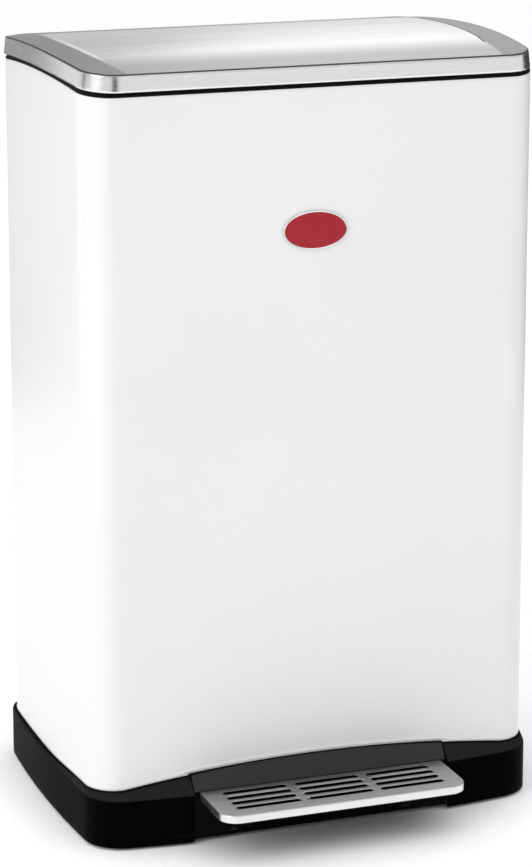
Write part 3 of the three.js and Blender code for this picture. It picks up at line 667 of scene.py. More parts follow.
@dataclass(frozen=True)
class BrushedSteel:
    """Stainless steel brushed from side to side: long fine scratches along X that lift the gloss in streaks.

    A crease gives the lid painted shade: greyer wings and ends, a dark fold and a dark line on the right-hand
    crease. A slot shade gives the tread painted shade: a greyer face and black slots.
    """

    bright: Colour = (0.88, 0.877, 0.865)
    dull: Colour = (0.76, 0.757, 0.747)
    gloss: float = 0.32
    # painted shade colours: darker copies of the steel, for the dimmer reflection on the lid's wings and the
    # tread's face
    grey_bright: Colour = (0.34, 0.34, 0.335)
    grey_dull: Colour = (0.27, 0.27, 0.266)
    fold_colour: Colour = (0.07, 0.07, 0.069)
    # painted shade colour of the right-hand crease line
    line_colour: Colour = (0.01, 0.01, 0.01)
    # painted shade colour of the slot walls
    pit_colour: Colour = (0.004, 0.004, 0.004)
    crease: Optional[CreaseLine] = None
    pit: Optional[SlotShade] = None

    def build(self, name: str) -> bpy.types.Material:
        """The steel as a material."""
        board = Board(name)
        sideways = board.ramp(abs(board.place("Normal")[0]), 0.6, 0.85)
        broad = self.grain(board, sideways, 90.0, 0.035, 3.0)
        fine = self.grain(board, sideways, 900.0, 0.012, 2.0)
        hair = self.grain(board, sideways, 2400.0, 0.006, 1.0)
        streak = board.ramp(broad * 0.35 + fine * 0.4 + hair * 0.25, 0.34, 0.66)
        # the shaded copy of the steel colour, used as painted shade
        grey = board.blend(streak, self.grey_dull, self.grey_bright)
        colour = board.blend(streak, self.dull, self.bright)
        roughness = self.gloss + (streak - 0.5) * 0.1
        metal: object = 1.0
        if self.crease is not None:
            outside, crease_shade = self.crease.mask(board), self.crease.shut_line(board)
            # painted shade: the lid's wings greyer than its panel, for their dimmer reflection
            colour = board.blend(outside, colour, grey)
            # painted shade: a dark band on the upper half of the lid's fold
            colour = board.blend(self.crease.fold(board), colour, self.fold_colour)
            # painted shade: a fine dark matt line on the right-hand crease, for the dark side it reflects
            colour = board.blend(crease_shade, colour, self.line_colour)
            roughness = roughness + outside * 0.12 - self.crease.skirt(board) * 0.08 + crease_shade * 0.5
            metal = 1.0 - crease_shade
        if self.pit is not None:
            # painted shade: the tread's top face greyer than its lip, for how the light falls on it
            face = self.pit.face(board)
            colour = board.blend(face, colour, grey)
            # painted shade: the slot walls black, for the shade inside the slots
            colour = board.blend(self.pit.mask(board), colour, self.pit_colour)
            roughness = roughness + face * 0.08
        board.set(
            Base_Color=colour,
            Metallic=metal,
            Roughness=roughness,
            Normal=board.bump(fine * 0.6 + hair * 0.4, 0.00002, 0.3, board.bump(broad, 0.00012, 0.1)),
        )
        return board.material

    @staticmethod
    def grain(board: Board, sideways: Value, scale: float, draw: float, detail: float) -> Value:
        """Scratches of one size, drawn out along X, and along Y where the face looks sideways."""
        along_x = board.noise(scale, (draw, 1.0, 1.0), detail=detail, rough=0.6)
        along_y = board.noise(scale, (1.0, draw, 1.0), detail=detail, rough=0.6)
        return along_x * (1.0 - sideways) + along_y * sideways


@dataclass(frozen=True)
class ZincPlate:
    """Dull zinc on pressed steel: small cloudy crystals and a few darker stains."""

    colour: Colour = (0.5, 0.51, 0.52)
    stain: Colour = (0.34, 0.345, 0.35)
    gloss: float = 0.38

    def build(self, name: str) -> bpy.types.Material:
        """The plate as a material."""
        board = Board(name)
        cell = board.node("TexVoronoi", {"feature": "F1"}, Vector=board.coordinate(), Scale=700.0)
        flake = Value(board, cell.outputs["Distance"])
        cloud = board.noise(70.0, detail=4.0, rough=0.6)
        board.set(
            Base_Color=board.blend(board.ramp(cloud, 0.4, 0.7), self.colour, self.stain),
            Metallic=0.95,
            Roughness=self.gloss + (cloud - 0.5) * 0.2 + flake * 0.08,
            Normal=board.bump(flake, 0.00003, 0.3),
        )
        return board.material


@dataclass(frozen=True)
class Rubber:
    """Matt moulded rubber with a dusting of bloom."""

    colour: Colour = (0.014, 0.014, 0.014)
    bloom: Colour = (0.05, 0.05, 0.048)
    gloss: float = 0.78

    def build(self, name: str) -> bpy.types.Material:
        """The rubber as a material."""
        board = Board(name)
        dust = board.noise(240.0, detail=4.0, rough=0.7)
        board.set(
            Base_Color=board.blend(board.ramp(dust, 0.5, 0.85), self.colour, self.bloom),
            Roughness=self.gloss + (dust - 0.5) * 0.2,
            Normal=board.bump(dust, 0.00008, 0.4),
        )
        return board.material


@dataclass(frozen=True)
class Enamel:
    """Glossy enamel poured inside a fine polished border that follows the badge's oval."""

    centre: tuple[float, float]
    half: tuple[float, float]
    border: float
    colour: Colour = (0.4, 0.008, 0.02)
    deep: Colour = (0.32, 0.006, 0.016)
    metal: Colour = (0.75, 0.75, 0.74)
    gloss: float = 0.2

    def build(self, name: str) -> bpy.types.Material:
        """The enamel and its border as one material."""
        board = Board(name)
        x, _, z = board.place()
        across = (x - self.centre[0]) / (self.half[0] - self.border)
        up = (z - self.centre[1]) / (self.half[1] - self.border)
        rim = board.ramp(across * across + up * up, 0.985, 1.015)
        cloud = board.noise(120.0, detail=3.0)
        board.set(
            Base_Color=board.blend(rim, board.blend(cloud, self.colour, self.deep), self.metal),
            Metallic=rim * 0.9,
            Roughness=self.gloss + (cloud - 0.5) * 0.06,
            Coat_Weight=0.1,
            Coat_Roughness=0.06,
            Specular_IOR_Level=0.25,
            Normal=board.bump(cloud, 0.0001, 0.15),
        )
        return board.material


# ---------------------------------------------------------------- workshop
@dataclass(frozen=True)
class BinAxes:
    """Where the bin's own axes lie in the frame."""

    shift_y: float

    def metres(self, points: Array) -> Array:
        """Millimetres in the bin's axes as metres in the frame."""
        return points * MM + [0.0, self.shift_y, 0.0]

    def y(self, place: float) -> float:
        """A place in y as metres in the frame."""
        return place * MM + self.shift_y

    def corners_mm(self, node: str) -> tuple[Array, Array]:
        """A node's lowest and highest corners, in millimetres in the bin's axes."""
        low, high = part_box(node)
        shift = np.array([0.0, self.shift_y, 0.0])
        return (np.array(low) - shift) / MM, (np.array(high) - shift) / MM


@dataclass(frozen=True)
class Dress:
    """A finish ready to use: its material and the slot it stands for."""

    material: bpy.types.Material
    slot: str


class Wardrobe:
    """Every finish on the bin, each made once."""

    def __init__(self, axes: BinAxes, plinth: "Plinth", lid: "Lid", tread: "Tread", badge: "Badge") -> None:
        """Make the finishes; some follow the lid's crease, the plinth's edge, the slots or the badge."""
        crease = CreaseLine(
            reach=lid.crease_reach * MM,
            draw=lid.crease_draw * MM,
            middle=axes.y(lid.crease_middle),
            span=lid.crease_span * MM,
            front=axes.y(lid.panel_front),
            rear=axes.y(lid.panel_rear),
            base=(lid.cabinet.top_z + lid.skirt_top) * MM,
            rise=lid.cabinet.top_rise * MM,
            body_y=axes.shift_y,
            half_depth=lid.cabinet.body.depth / 2 * MM,
        )
        body, crease_z = plinth.body, plinth.crease_z * MM
        line = TopLine(
            base=plinth.edge_z * MM,
            rise=plinth.edge_rise * MM,
            reach=(body.width / 2 - body.corner) * MM,
            drop=plinth.edge_drop * MM,
            drop_from=axes.y(body.corner - body.depth / 2),
            drop_to=axes.shift_y,
        )
        raised = replace(line, base=line.base + plinth.panel_rise * MM, ends=plinth.panel_half * MM)
        # the plinth's shoulder above the crease gets a painted sheen
        plinth_black = Moulding((0.001, 0.001, 0.0011), shine=0.012, upper_z=crease_z, line=line)
        # painted sheen colour for the pedal panel's upward slope above the crease
        slope = (0.036, 0.036, 0.0365)
        charcoal = Moulding(
            (0.0015, 0.0015, 0.0016), shine=0.06, upper_z=crease_z + MM, upper=slope, line=raised
        )
        enamelled = Moulding((0.004, 0.004, 0.0042), gloss=0.5, grain=900.0, shine=0.05)
        grey = Moulding(
            (0.16, 0.168, 0.176), (0.2, 0.21, 0.22), gloss=0.42, grain=1100.0, depth=0.00002, shine=0.5
        )
        # painted shade on the tread: a greyer face and black slot walls
        pits = SlotShade(tread.top_z * MM, (tread.half - 15) * MM, axes.y(tread.front_y + 12))
        tread_steel = BrushedSteel(grey_bright=(0.5, 0.5, 0.493), grey_dull=(0.4, 0.4, 0.395), pit=pits)
        oval = Enamel(
            (badge.x * MM, badge.z * MM), (badge.width / 2 * MM, badge.height / 2 * MM), badge.border * MM
        )
        self.coat = Dress(PowderCoat().build("white_powder_coat"), "white_coat")
        self.moulding = Dress(Moulding().build("black_grained_moulding"), "black_moulding")
        self.plinth = Dress(plinth_black.build("black_plinth_moulding"), "black_moulding")
        self.panel = Dress(charcoal.build("charcoal_panel"), "black_moulding")
        self.dark_steel = Dress(enamelled.build("black_enamelled_steel"), "zinc_steel")
        self.lid_steel = Dress(BrushedSteel(crease=crease).build("brushed_lid_steel"), "brushed_steel")
        self.steel = Dress(tread_steel.build("brushed_tread_steel"), "brushed_steel")
        self.zinc = Dress(ZincPlate().build("dull_zinc_plate"), "zinc_steel")
        self.grey = Dress(grey.build("grey_polypropylene"), "grey_plastic")
        self.rubber = Dress(Rubber().build("matt_rubber"), "rubber")
        self.enamel = Dress(oval.build("red_badge_enamel"), "red_enamel")


def link(name: str, data: bpy.types.ID) -> bpy.types.Object:
    """A new object at the origin, in the scene."""
    made = bpy.data.objects.new(name, data)
    bpy.context.scene.collection.objects.link(made)
    return made


def bare_mesh(name: str, points: Array, faces: Sequence[Sequence[int]]) -> bpy.types.Mesh:
    """A mesh of the points and faces, in metres in the frame."""
    mesh = bpy.data.meshes.new(name)
    mesh.from_pydata(points.tolist(), [], faces)
    return mesh


class Workshop:
    """Turns skins into finished pieces that ride on a body and stand for CAD nodes."""

    merge_distance = 1e-6
    empty_distance = 1e-7
    flat_angle = math.radians(0.4)

    def __init__(self, nodes: dict, axes: BinAxes, finishes: Wardrobe) -> None:
        """Keep the frame's nodes, the bin's axes and the finishes."""
        self.nodes = nodes
        self.axes = axes
        self.finishes = finishes
        self.left = set(nodes)

    def mesh(self, name: str, skin: Skin, closed: bool = True) -> bpy.types.Object:
        """Put a skin into a new object at the origin, merged, and facing outwards if it is closed."""
        mesh = bare_mesh(name, self.axes.metres(skin.points), [*skin.quads.tolist(), *skin.tris.tolist()])
        self._clean(mesh, recalculate=closed)
        return link(name, mesh)

    def _clean(self, mesh: bpy.types.Mesh, recalculate: bool, flatten: bool = False) -> None:
        """Merge doubles, drop what has no area, and set the normals outwards where asked."""
        work = bmesh.new()
        work.from_mesh(mesh)
        bmesh.ops.remove_doubles(work, verts=work.verts, dist=self.merge_distance)
        bmesh.ops.dissolve_degenerate(work, edges=work.edges, dist=self.empty_distance)
        if flatten:
            bmesh.ops.dissolve_limit(work, angle_limit=self.flat_angle, verts=work.verts, edges=work.edges)
        if recalculate:
            bmesh.ops.recalc_face_normals(work, faces=work.faces)
        work.to_mesh(mesh)
        work.free()

    def carve(self, piece: bpy.types.Object, *cutters: Skin) -> None:
        """Take closed skins away from a piece for good."""
        for number, skin in enumerate(cutters):
            tool = self.mesh(f"{piece.name}_tool_{number}", skin)
            cut = piece.modifiers.new("cut", "BOOLEAN")
            cut.operation = "DIFFERENCE"
            cut.solver = "EXACT"
            cut.object = tool
            graph = bpy.context.evaluated_depsgraph_get()
            mesh = bpy.data.meshes.new_from_object(piece.evaluated_get(graph))
            piece.modifiers.clear()
            piece.data = mesh
            bpy.data.objects.remove(tool)

    def add(self, piece: bpy.types.Object, skins: Sequence[Skin]) -> None:
        """Put further closed skins into a piece's mesh."""
        work = bmesh.new()
        work.from_mesh(piece.data)
        for number, skin in enumerate(skins):
            extra = self.mesh(f"{piece.name}_part_{number}", skin)
            work.from_mesh(extra.data)
            bpy.data.objects.remove(extra)
        work.to_mesh(piece.data)
        work.free()

    @staticmethod
    def bevel(piece: bpy.types.Object, width: float, segments: int = 2, angle: float = 32.0) -> None:
        """Round every edge sharper than angle degrees; width is in millimetres."""
        rounding = piece.modifiers.new("rounding", "BEVEL")
        rounding.width = width * MM
        rounding.segments = segments
        rounding.limit_method = "ANGLE"
        rounding.angle_limit = math.radians(angle)
        rounding.use_clamp_overlap = True
        rounding.miter_outer = "MITER_ARC"
        even = piece.modifiers.new("even_shading", "WEIGHTED_NORMAL")
        even.keep_sharp = True

    @staticmethod
    def thicken(piece: bpy.types.Object, thickness: float) -> None:
        """Give a sheet its thickness, in millimetres, behind its face."""
        wall = piece.modifiers.new("wall", "SOLIDIFY")
        wall.thickness = thickness * MM
        wall.offset = -1.0
        wall.use_even_offset = True

    def dress(
        self, piece: bpy.types.Object, dress: Dress, body: Body, *nodes: str, sharp: float = 40.0
    ) -> bpy.types.Object:
        """Finish a piece: smooth shading, material, body and the nodes that it stands for."""
        piece.data.shade_smooth()
        piece.data.set_sharp_from_angle(angle=math.radians(sharp))
        piece.data.materials.clear()
        piece.data.materials.append(dress.material)
        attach(piece, body.value)
        if nodes:
            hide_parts(*nodes)
            self.left -= set(nodes)
        LOG.info("%s: %d faces, rides on %s", piece.name, len(piece.data.polygons), body.value)
        return piece

    def make(self, name: str, skin: Skin, dress: Dress, body: Body, node: str, sharp: float = 40.0) -> None:
        """A closed skin as a finished piece that stands for a node."""
        self.dress(self.mesh(name, skin), dress, body, node, sharp=sharp)

    def refine(
        self, node: str, dress: Dress, body: Body, width: float = 0.4, name: Optional[str] = None
    ) -> None:
        """A merged copy of a node with its edges rounded, which stands for the node."""
        mesh = self.nodes[node].data.copy()
        self._clean(mesh, recalculate=False, flatten=True)
        made = link(name or f"{node}_pressed", mesh)
        self.bevel(made, width)
        self.dress(made, dress, body, node)


# ---------------------------------------------------------------- cabinet
@dataclass
class Cabinet:
    """The coated sheet wrap, the black rim that caps it, and what is fixed to them."""

    body: Casing = Casing(400, 260, 26.5, side_bow=2.1)
    wall: float = 0.8
    foot_z: float = 40.6
    waist_z: float = 340.0
    top_z: float = 637.7
    top_rise: float = 6.8
    rim_band: float = 3.6
    rim_wall: float = 2.4
    rim_leg: float = 26.0
    rim_ledge: float = 12.0
    rim_gap: float = 0.3
    bead: float = 0.35
    seam: float = 0.45
    lug_notch: tuple = ((-4.0, 4.0), (100.0, 128.0), (600.0, 660.0))

    def build(self, shop: Workshop, plinth: "Plinth") -> None:
        """The wrap, the rim, the lid's stops, the rod's guides and the buckets' tray."""
        self.wrap(shop, plinth)
        self.rim(shop)
        for side in Side:
            self.buffer(shop, f"lid_buffer_{side.word}")
        for node in ("rod_guide_lower", "rod_guide_upper"):
            shop.refine(node, shop.finishes.moulding, Body.CABINET, 0.5, f"{node}_eye")
        shop.refine("floor_deck", shop.finishes.moulding, Body.CABINET, 0.8, "floor_tray")

    def top(self, x: Array, y: Array) -> Array:
        """Height of the sheet's top edge: an even arch 4t(1-t) from front to back."""
        t = np.clip(y / self.body.depth + 0.5, 0, 1)
        return self.top_z + self.top_rise * 4 * t * (1 - t)

    def above(self, rise: float) -> Surface:
        """A height a fixed distance above the sheet's top edge."""
        return lambda x, y: self.top(x, y) + rise

    def wrap(self, shop: Workshop, plinth: "Plinth") -> None:
        """The sheet wrap: a rolled bead above the plinth, a turned top edge, and a lapped seam behind."""
        half_x, clear = plinth.panel_half, 1.5

        def hem(rise: float) -> Surface:
            """A height above the plinth's edge that clears the pedal panel where it stands higher."""
            return lambda x, y: plinth.edge(x, y) + rise + clear * (
                1 - smoothstep(np.abs(x), half_x + 1, half_x + 7)
            ) * smoothstep(-y, 100, 129)

        rolled = [(0, 0.5), (0.7, 0.7), (1, 1.2), (1, 1.9), (0.7, 2.6), (0.2, 3.3), (0, 4.2), (0, 9.0)]
        turned_in = [(0.0, -3.0), (0.0, -0.35), (0.12, -0.1), (0.35, 0.0), (self.wall, -0.2), (self.wall, -4)]
        steps = [(0.0, self.foot_z)]
        steps += [(-share * self.bead, hem(rise)) for share, rise in rolled]
        steps += [(0.0, self.waist_z)]
        steps += [(by, self.above(rise)) for by, rise in turned_in]
        steps += [(self.wall, self.foot_z)]
        rings = [self._seamed(self.body.inset(by).ring(height)) for by, height in steps]
        skin = Skin.loft(rings, closed=True)
        shop.make("body_wrap", skin, shop.finishes.coat, Body.CABINET, "body_shell", sharp=50)

    def _seamed(self, ring: Array) -> Array:
        """Draw a ring in along the seam down the middle of the back: depth times a narrow bell of x."""
        behind = smoothstep(ring[:, 1], 110, 125)
        ring[:, 1] -= behind * self.seam * bell(ring[:, 0] - 0.2, 1.1)
        return ring

    def rim(self, shop: Workshop) -> None:
        """The rim: a two-step band flush with the sheet, a flat ledge, and a leg down inside the sheet."""
        gap, band, inset = self.rim_gap, self.rim_band, self.body.inset
        leg_out = inset(self.wall + gap)
        leg_in = leg_out.inset(self.rim_wall)
        ledge = inset(self.rim_ledge)
        profile = [
            (inset(0.25), gap),
            (self.body, gap + 0.25),
            (self.body, 1.75),
            (inset(0.3), 2.05),
            (inset(0.75), 2.15),
            (inset(0.8), band - 0.45),
            (inset(1.25), band),
            (ledge.inset(-0.6), band),
            (ledge, band - 0.6),
            (ledge, band - self.rim_wall),
            (leg_in, band - self.rim_wall),
            (leg_in, -self.rim_leg),
            (leg_out, -self.rim_leg),
            (leg_out, gap),
        ]
        rings = [casing.ring(self.above(rise)) for casing, rise in profile]
        collar = shop.mesh("rim_collar", Skin.loft(rings, closed=True))
        shop.carve(collar, block(*self.lug_notch))
        shop.dress(collar, shop.finishes.moulding, Body.CABINET, "top_rim", sharp=35)

    @staticmethod
    def buffer(shop: Workshop, node: str) -> None:
        """A small rubber stop that the closed lid rests on."""
        low, high = shop.axes.corners_mm(node)
        middle, radius, tall = (low + high) / 2, (high[0] - low[0]) / 2, high[2] - low[2]
        profile = [(0, 0), (radius - 0.4, 0), (radius, 0.4), (radius, 0.55 * tall)]
        profile += [(radius - 0.3, 0.64 * tall), (radius - 0.6, 0.8 * tall), (radius - 1.3, 0.94 * tall)]
        profile += [(radius - 2.3, tall - 0.1), (0, tall)]
        stop = turned(lathe(profile, 32), Axis.Z, (middle[0], middle[1], low[2]))
        shop.make(f"{node}_stop", stop, shop.finishes.rubber, Body.CABINET, node)


@dataclass
class Badge:
    """A plain oval badge: domed enamel inside a fine raised border, with no lettering."""

    x: float = -3.0
    z: float = 519.0
    width: float = 57.0
    height: float = 33.0
    face_y: float = -130.3
    thick: float = 1.6
    border: float = 1.3
    well: float = 0.45
    dome: float = 0.42

    def build(self, shop: Workshop) -> None:
        """The badge as rings drawn in from one oval: a raised border, then a shallow dome 1 - s^2."""
        a, b = self.width / 2, self.height / 2
        floor = self.thick - self.well
        rings: list[tuple[float, float]] = [(0.0, 0.0), (0.0, self.thick - 0.5), (0.12, self.thick - 0.2)]
        rings += [(0.4, self.thick), (0.8, self.thick - 0.02), (self.border, floor)]
        domes = self.border + (b - self.border - 0.5) * np.linspace(0.04, 1, 9)
        share = 1 - (domes - self.border) / (b - self.border)
        rings += list(zip(domes, floor + self.dome * (1 - share**2)))
        cos, sin = around(96)

        def ring(by: float, out: float) -> Array:
            """The oval drawn in by a distance; further in, its long half shrinks the faster."""
            faster = 1 + smoothstep(by, -1, b) * ((a - 1) / (b - 1) - 1)
            x, z = self.x + (a - by * faster) * cos, self.z + (b - by) * sin
            return np.stack([x, np.full(len(cos), self.face_y - out), z], axis=1)

        skin = Skin.loft([ring(by, out) for by, out in rings])
        shop.make("oval_badge", skin, shop.finishes.enamel, Body.CABINET, "badge", sharp=50)


# ---------------------------------------------------------------- plinth
@dataclass
class Plinth:
    """The bowed base, its pedal panel, the floor ledge and the four rubber feet."""

    body: Casing
    base: Casing = Casing(404.7, 282.1, 30.4, side_bow=4.35, front_bow=11.4)
    wall: float = 3.0
    foot_z: float = 2.0
    crease_z: float = 44.0
    edge_z: float = 50.3
    edge_rise: float = 11.3
    edge_drop: float = 4.6
    ledge_z: float = 40.3
    ledge_thick: float = 3.0
    ledge_inset: float = 9.0
    panel_half: float = 116.5
    panel_face_y: float = -142.0
    panel_rise: float = 1.4
    panel_slope_z: float = 60.5
    panel_lip_y: float = -133.5
    panel_thick: float = 2.6
    arm_x: float = 80.0
    foot_spots: tuple = ((-176, -112), (176, -112), (-176, 112), (176, 112))

    def build(self, shop: Workshop) -> None:
        """The base, the panel and the feet."""
        self.moulding(shop)
        self.panel(shop)
        self.feet(shop)

    def edge(self, x: Array, y: Array) -> Array:
        """Height of the plinth's top edge: an arch 1 - x^2 across the front, falling away along the sides."""
        reach = self.body.width / 2 - self.body.corner
        across = np.clip(x / reach, -1, 1)
        front = smoothstep(-y, self.body.depth / 2 - self.body.corner, self.body.depth / 2)
        back = smoothstep(y, self.body.corner - self.body.depth / 2, 0)
        return self.edge_z + self.edge_rise * (1 - across**2) * front - self.edge_drop * back

    def moulding(self, shop: Workshop) -> None:
        """The base: an upright bowed wall, a rounded shoulder sloping in to the sheet, and an inner ledge."""
        crease, base = self.crease_z, self.base
        shoulder = self.body.inset(-1.3)
        inside = base.inset(self.wall)
        free = self.body.inset(self.ledge_inset)
        fit = self.body.inset(-0.3)
        under = self.ledge_z - self.ledge_thick

        def slope(share: float) -> Surface:
            """A height part of the way up the shoulder."""
            return lambda x, y: crease + share * (self.edge(x, y) - crease)

        rings = [
            base.inset(0.8).ring(self.foot_z),
            base.inset(0.2).ring(self.foot_z + 0.3),
            base.ring(self.foot_z + 1.0),
            base.ring(12.0),
            base.ring(crease - 1.6),
            base.toward(shoulder, 0.01).inset(0.08).ring(crease - 0.7),
            base.toward(shoulder, 0.05).inset(0.1).ring(slope(0.02)),
            base.toward(shoulder, 0.13).ring(slope(0.12)),
            base.toward(shoulder, 0.5).ring(slope(0.49)),
            base.toward(shoulder, 0.93).ring(slope(0.92)),
            shoulder.inset(0.12).ring(lambda x, y: self.edge(x, y) - 0.08),
            shoulder.inset(0.45).ring(self.edge),
            fit.ring(self.edge),
            fit.ring(self.ledge_z),
            free.ring(self.ledge_z),
            free.ring(under),
            inside.ring(under),
            inside.ring(self.foot_z),
        ]
        made = shop.mesh("plinth_moulding", Skin.loft(rings, closed=True))
        side = self.panel_half + 0.1
        shop.carve(made, block((-side, side), (-160, -120), (-5, 80)), block((-7, 7), (113, 128), (30, 50)))
        boss = lathe([(0, 4.3), (15.5, 4.3), (16, 4.8), (16, 38), (15, 39.3), (0, 39.3)], 32)
        shop.add(made, [turned(boss, Axis.Z, (x, y, 0)) for x, y in self.foot_spots])
        shop.dress(made, shop.finishes.plinth, Body.CABINET, "base_moulding", sharp=33)

    def panel(self, shop: Workshop) -> None:
        """The pedal panel: an upright face with two slits, a slope, and an arched lip against the sheet.

        Its section at each x is one closed loop of (y, z) points. The slope's top is cut off where the
        arch is lower than it, so every row keeps the same points.
        """
        rows = 61
        fillet, low = 1.2, self.crease_z + 1
        x = np.linspace(-self.panel_half, self.panel_half, rows)
        top = self.edge(x, np.full(rows, -self.body.depth / 2)) + self.panel_rise
        face, back, lip = self.panel_face_y, -self.body.depth / 2 - 0.3, -self.body.depth / 2 - 1.9
        inner = face + self.panel_thick
        reach = np.minimum(top - 0.35, self.panel_slope_z)
        share = (reach - low) / (self.panel_slope_z - low)
        slope_y = face + share * (lip - face)
        lip_y = np.maximum(slope_y, self.panel_lip_y)
        section = [
            (face, 3.0),
            (face, low - fillet),
            (face + 0.12, low - 0.3 * fillet),
            (face + 0.5, low + 0.65),
            (face + 0.5 * share * (lip - face), low + 0.5 * share * (self.panel_slope_z - low)),
            (slope_y, reach),
            (lip_y + 0.25, np.maximum(reach + 0.2, top - 0.2)),
            (lip_y + 0.7, top),
            (back, top),
            (back, self.crease_z + 12),
            (inner, self.crease_z - 1),
            (inner, 3.0),
        ]
        grid = np.stack([np.stack(np.broadcast_arrays(x, y, z), axis=1) for y, z in section])
        skin = Skin.grid(grid, wrap_rows=True) + Skin.cap(grid[:, 0]) + Skin.cap(grid[:, -1])
        panel = shop.mesh("pedal_recess_panel", skin)
        slits = [block((s * self.arm_x - 5, s * self.arm_x + 5), (-145, -120), (5, 42)) for s in (-1, 1)]
        shop.carve(panel, *slits)
        shop.bevel(panel, 0.45, 2, 40)
        shop.dress(panel, shop.finishes.panel, Body.CABINET, "pedal_panel", sharp=40)

    def feet(self, shop: Workshop) -> None:
        """Four rubber feet, each with a ring groove."""
        names = ("foot_front_left", "foot_front_right", "foot_rear_left", "foot_rear_right")
        profile = [(0, 0.7), (7, 0.7), (7.6, 0), (11.4, 0), (12.5, 0.4)]
        profile += [(13, 1.1), (13, 2.9), (12.6, 3.6), (11.9, 4), (0, 4)]
        for name, (x, y) in zip(names, self.foot_spots):
            pad = turned(lathe(profile), Axis.Z, (x, y, 0))
            shop.make(f"{name}_pad", pad, shop.finishes.rubber, Body.CABINET, name)


# ---------------------------------------------------------------- pressed covers
@dataclass
class PressedCover:
    """A sheet pressed over its edges: a top surface, a rounded fold and a straight skirt.

    The top is a grid of rows in y and columns in x that reaches the outline exactly, so that its
    border becomes the first ring of the fold.
    """

    rows: Array
    columns: Callable[[Array], Array]
    height: Surface
    fold: float
    skirt: float
    flare: tuple[float, float] = (0.0, 0.0)
    shift: float = 0.0
    open_back: bool = False

    def build(self) -> Skin:
        """The cover's outer face."""
        x = self.columns(self.rows)
        y = np.broadcast_to(self.rows[:, None], x.shape)
        top = np.stack([x, y, self.height(x, y)], axis=-1)
        border = self._border(top)
        outward = self._outward(border)
        rings = [border]
        for angle in np.radians([15, 30, 45, 60, 75, 90]):
            out, down = self.fold * math.sin(angle), self.fold * (1 - math.cos(angle))
            rings.append(border + outward * out - [0, 0, down])
        edge = rings[-1]
        for share in (0.12, 0.88, 1.0):
            ring = edge.copy()
            ring[:, 0] += share * self.flare[0] * outward[:, 0]
            ring[:, 1] += share * (self.flare[1] * outward[:, 1] + self.shift)
            ring[:, 2] -= share * (self.skirt - self.fold)
            rings.append(ring)
        return Skin.grid(top) + Skin.grid(np.stack(rings), wrap_columns=not self.open_back, flip=True)

    def _border(self, top: Array) -> Array:
        """The top's border, anticlockwise from above; open at the back it starts and ends there."""
        left, right = top[::-1, 0], top[:, -1]
        front = top[0, 1:-1]
        if self.open_back:
            return np.concatenate([left, front, right])
        return np.concatenate([front, right, top[-1, 1:-1][::-1], left])

    def _outward(self, border: Array) -> Array:
        """The direction away from the sheet at each border point, level with the ground."""
        if self.open_back:
            run = np.gradient(border[:, :2], axis=0)
            run[[0, -1]] = [[0.0, -1.0], [0.0, 1.0]]
        else:
            ahead, behind = np.roll(border, -1, 0) - border, border - np.roll(border, 1, 0)
            ahead /= np.linalg.norm(ahead[:, :2], axis=1, keepdims=True) + 1e-12
            behind /= np.linalg.norm(behind[:, :2], axis=1, keepdims=True) + 1e-12
            run = (ahead + behind)[:, :2]
        run = run / np.linalg.norm(run, axis=1, keepdims=True)
        return np.stack([run[:, 1], -run[:, 0], np.zeros(len(run))], axis=1)


def rows_between(
    front: float, back: float, corner: float, steps: int, middle: int, rear_corner: bool = True
) -> Array:
    """Rows from front to back, close together at the corners: front + r (1 - cos a) there, even between."""
    turn = corner * (1 - np.cos(np.linspace(0, np.pi / 2, steps)))
    start = front + turn
    end = back - turn[::-1] if rear_corner else np.array([back])
    return np.concatenate([start, np.linspace(start[-1], end[0], middle)[1:-1], end])


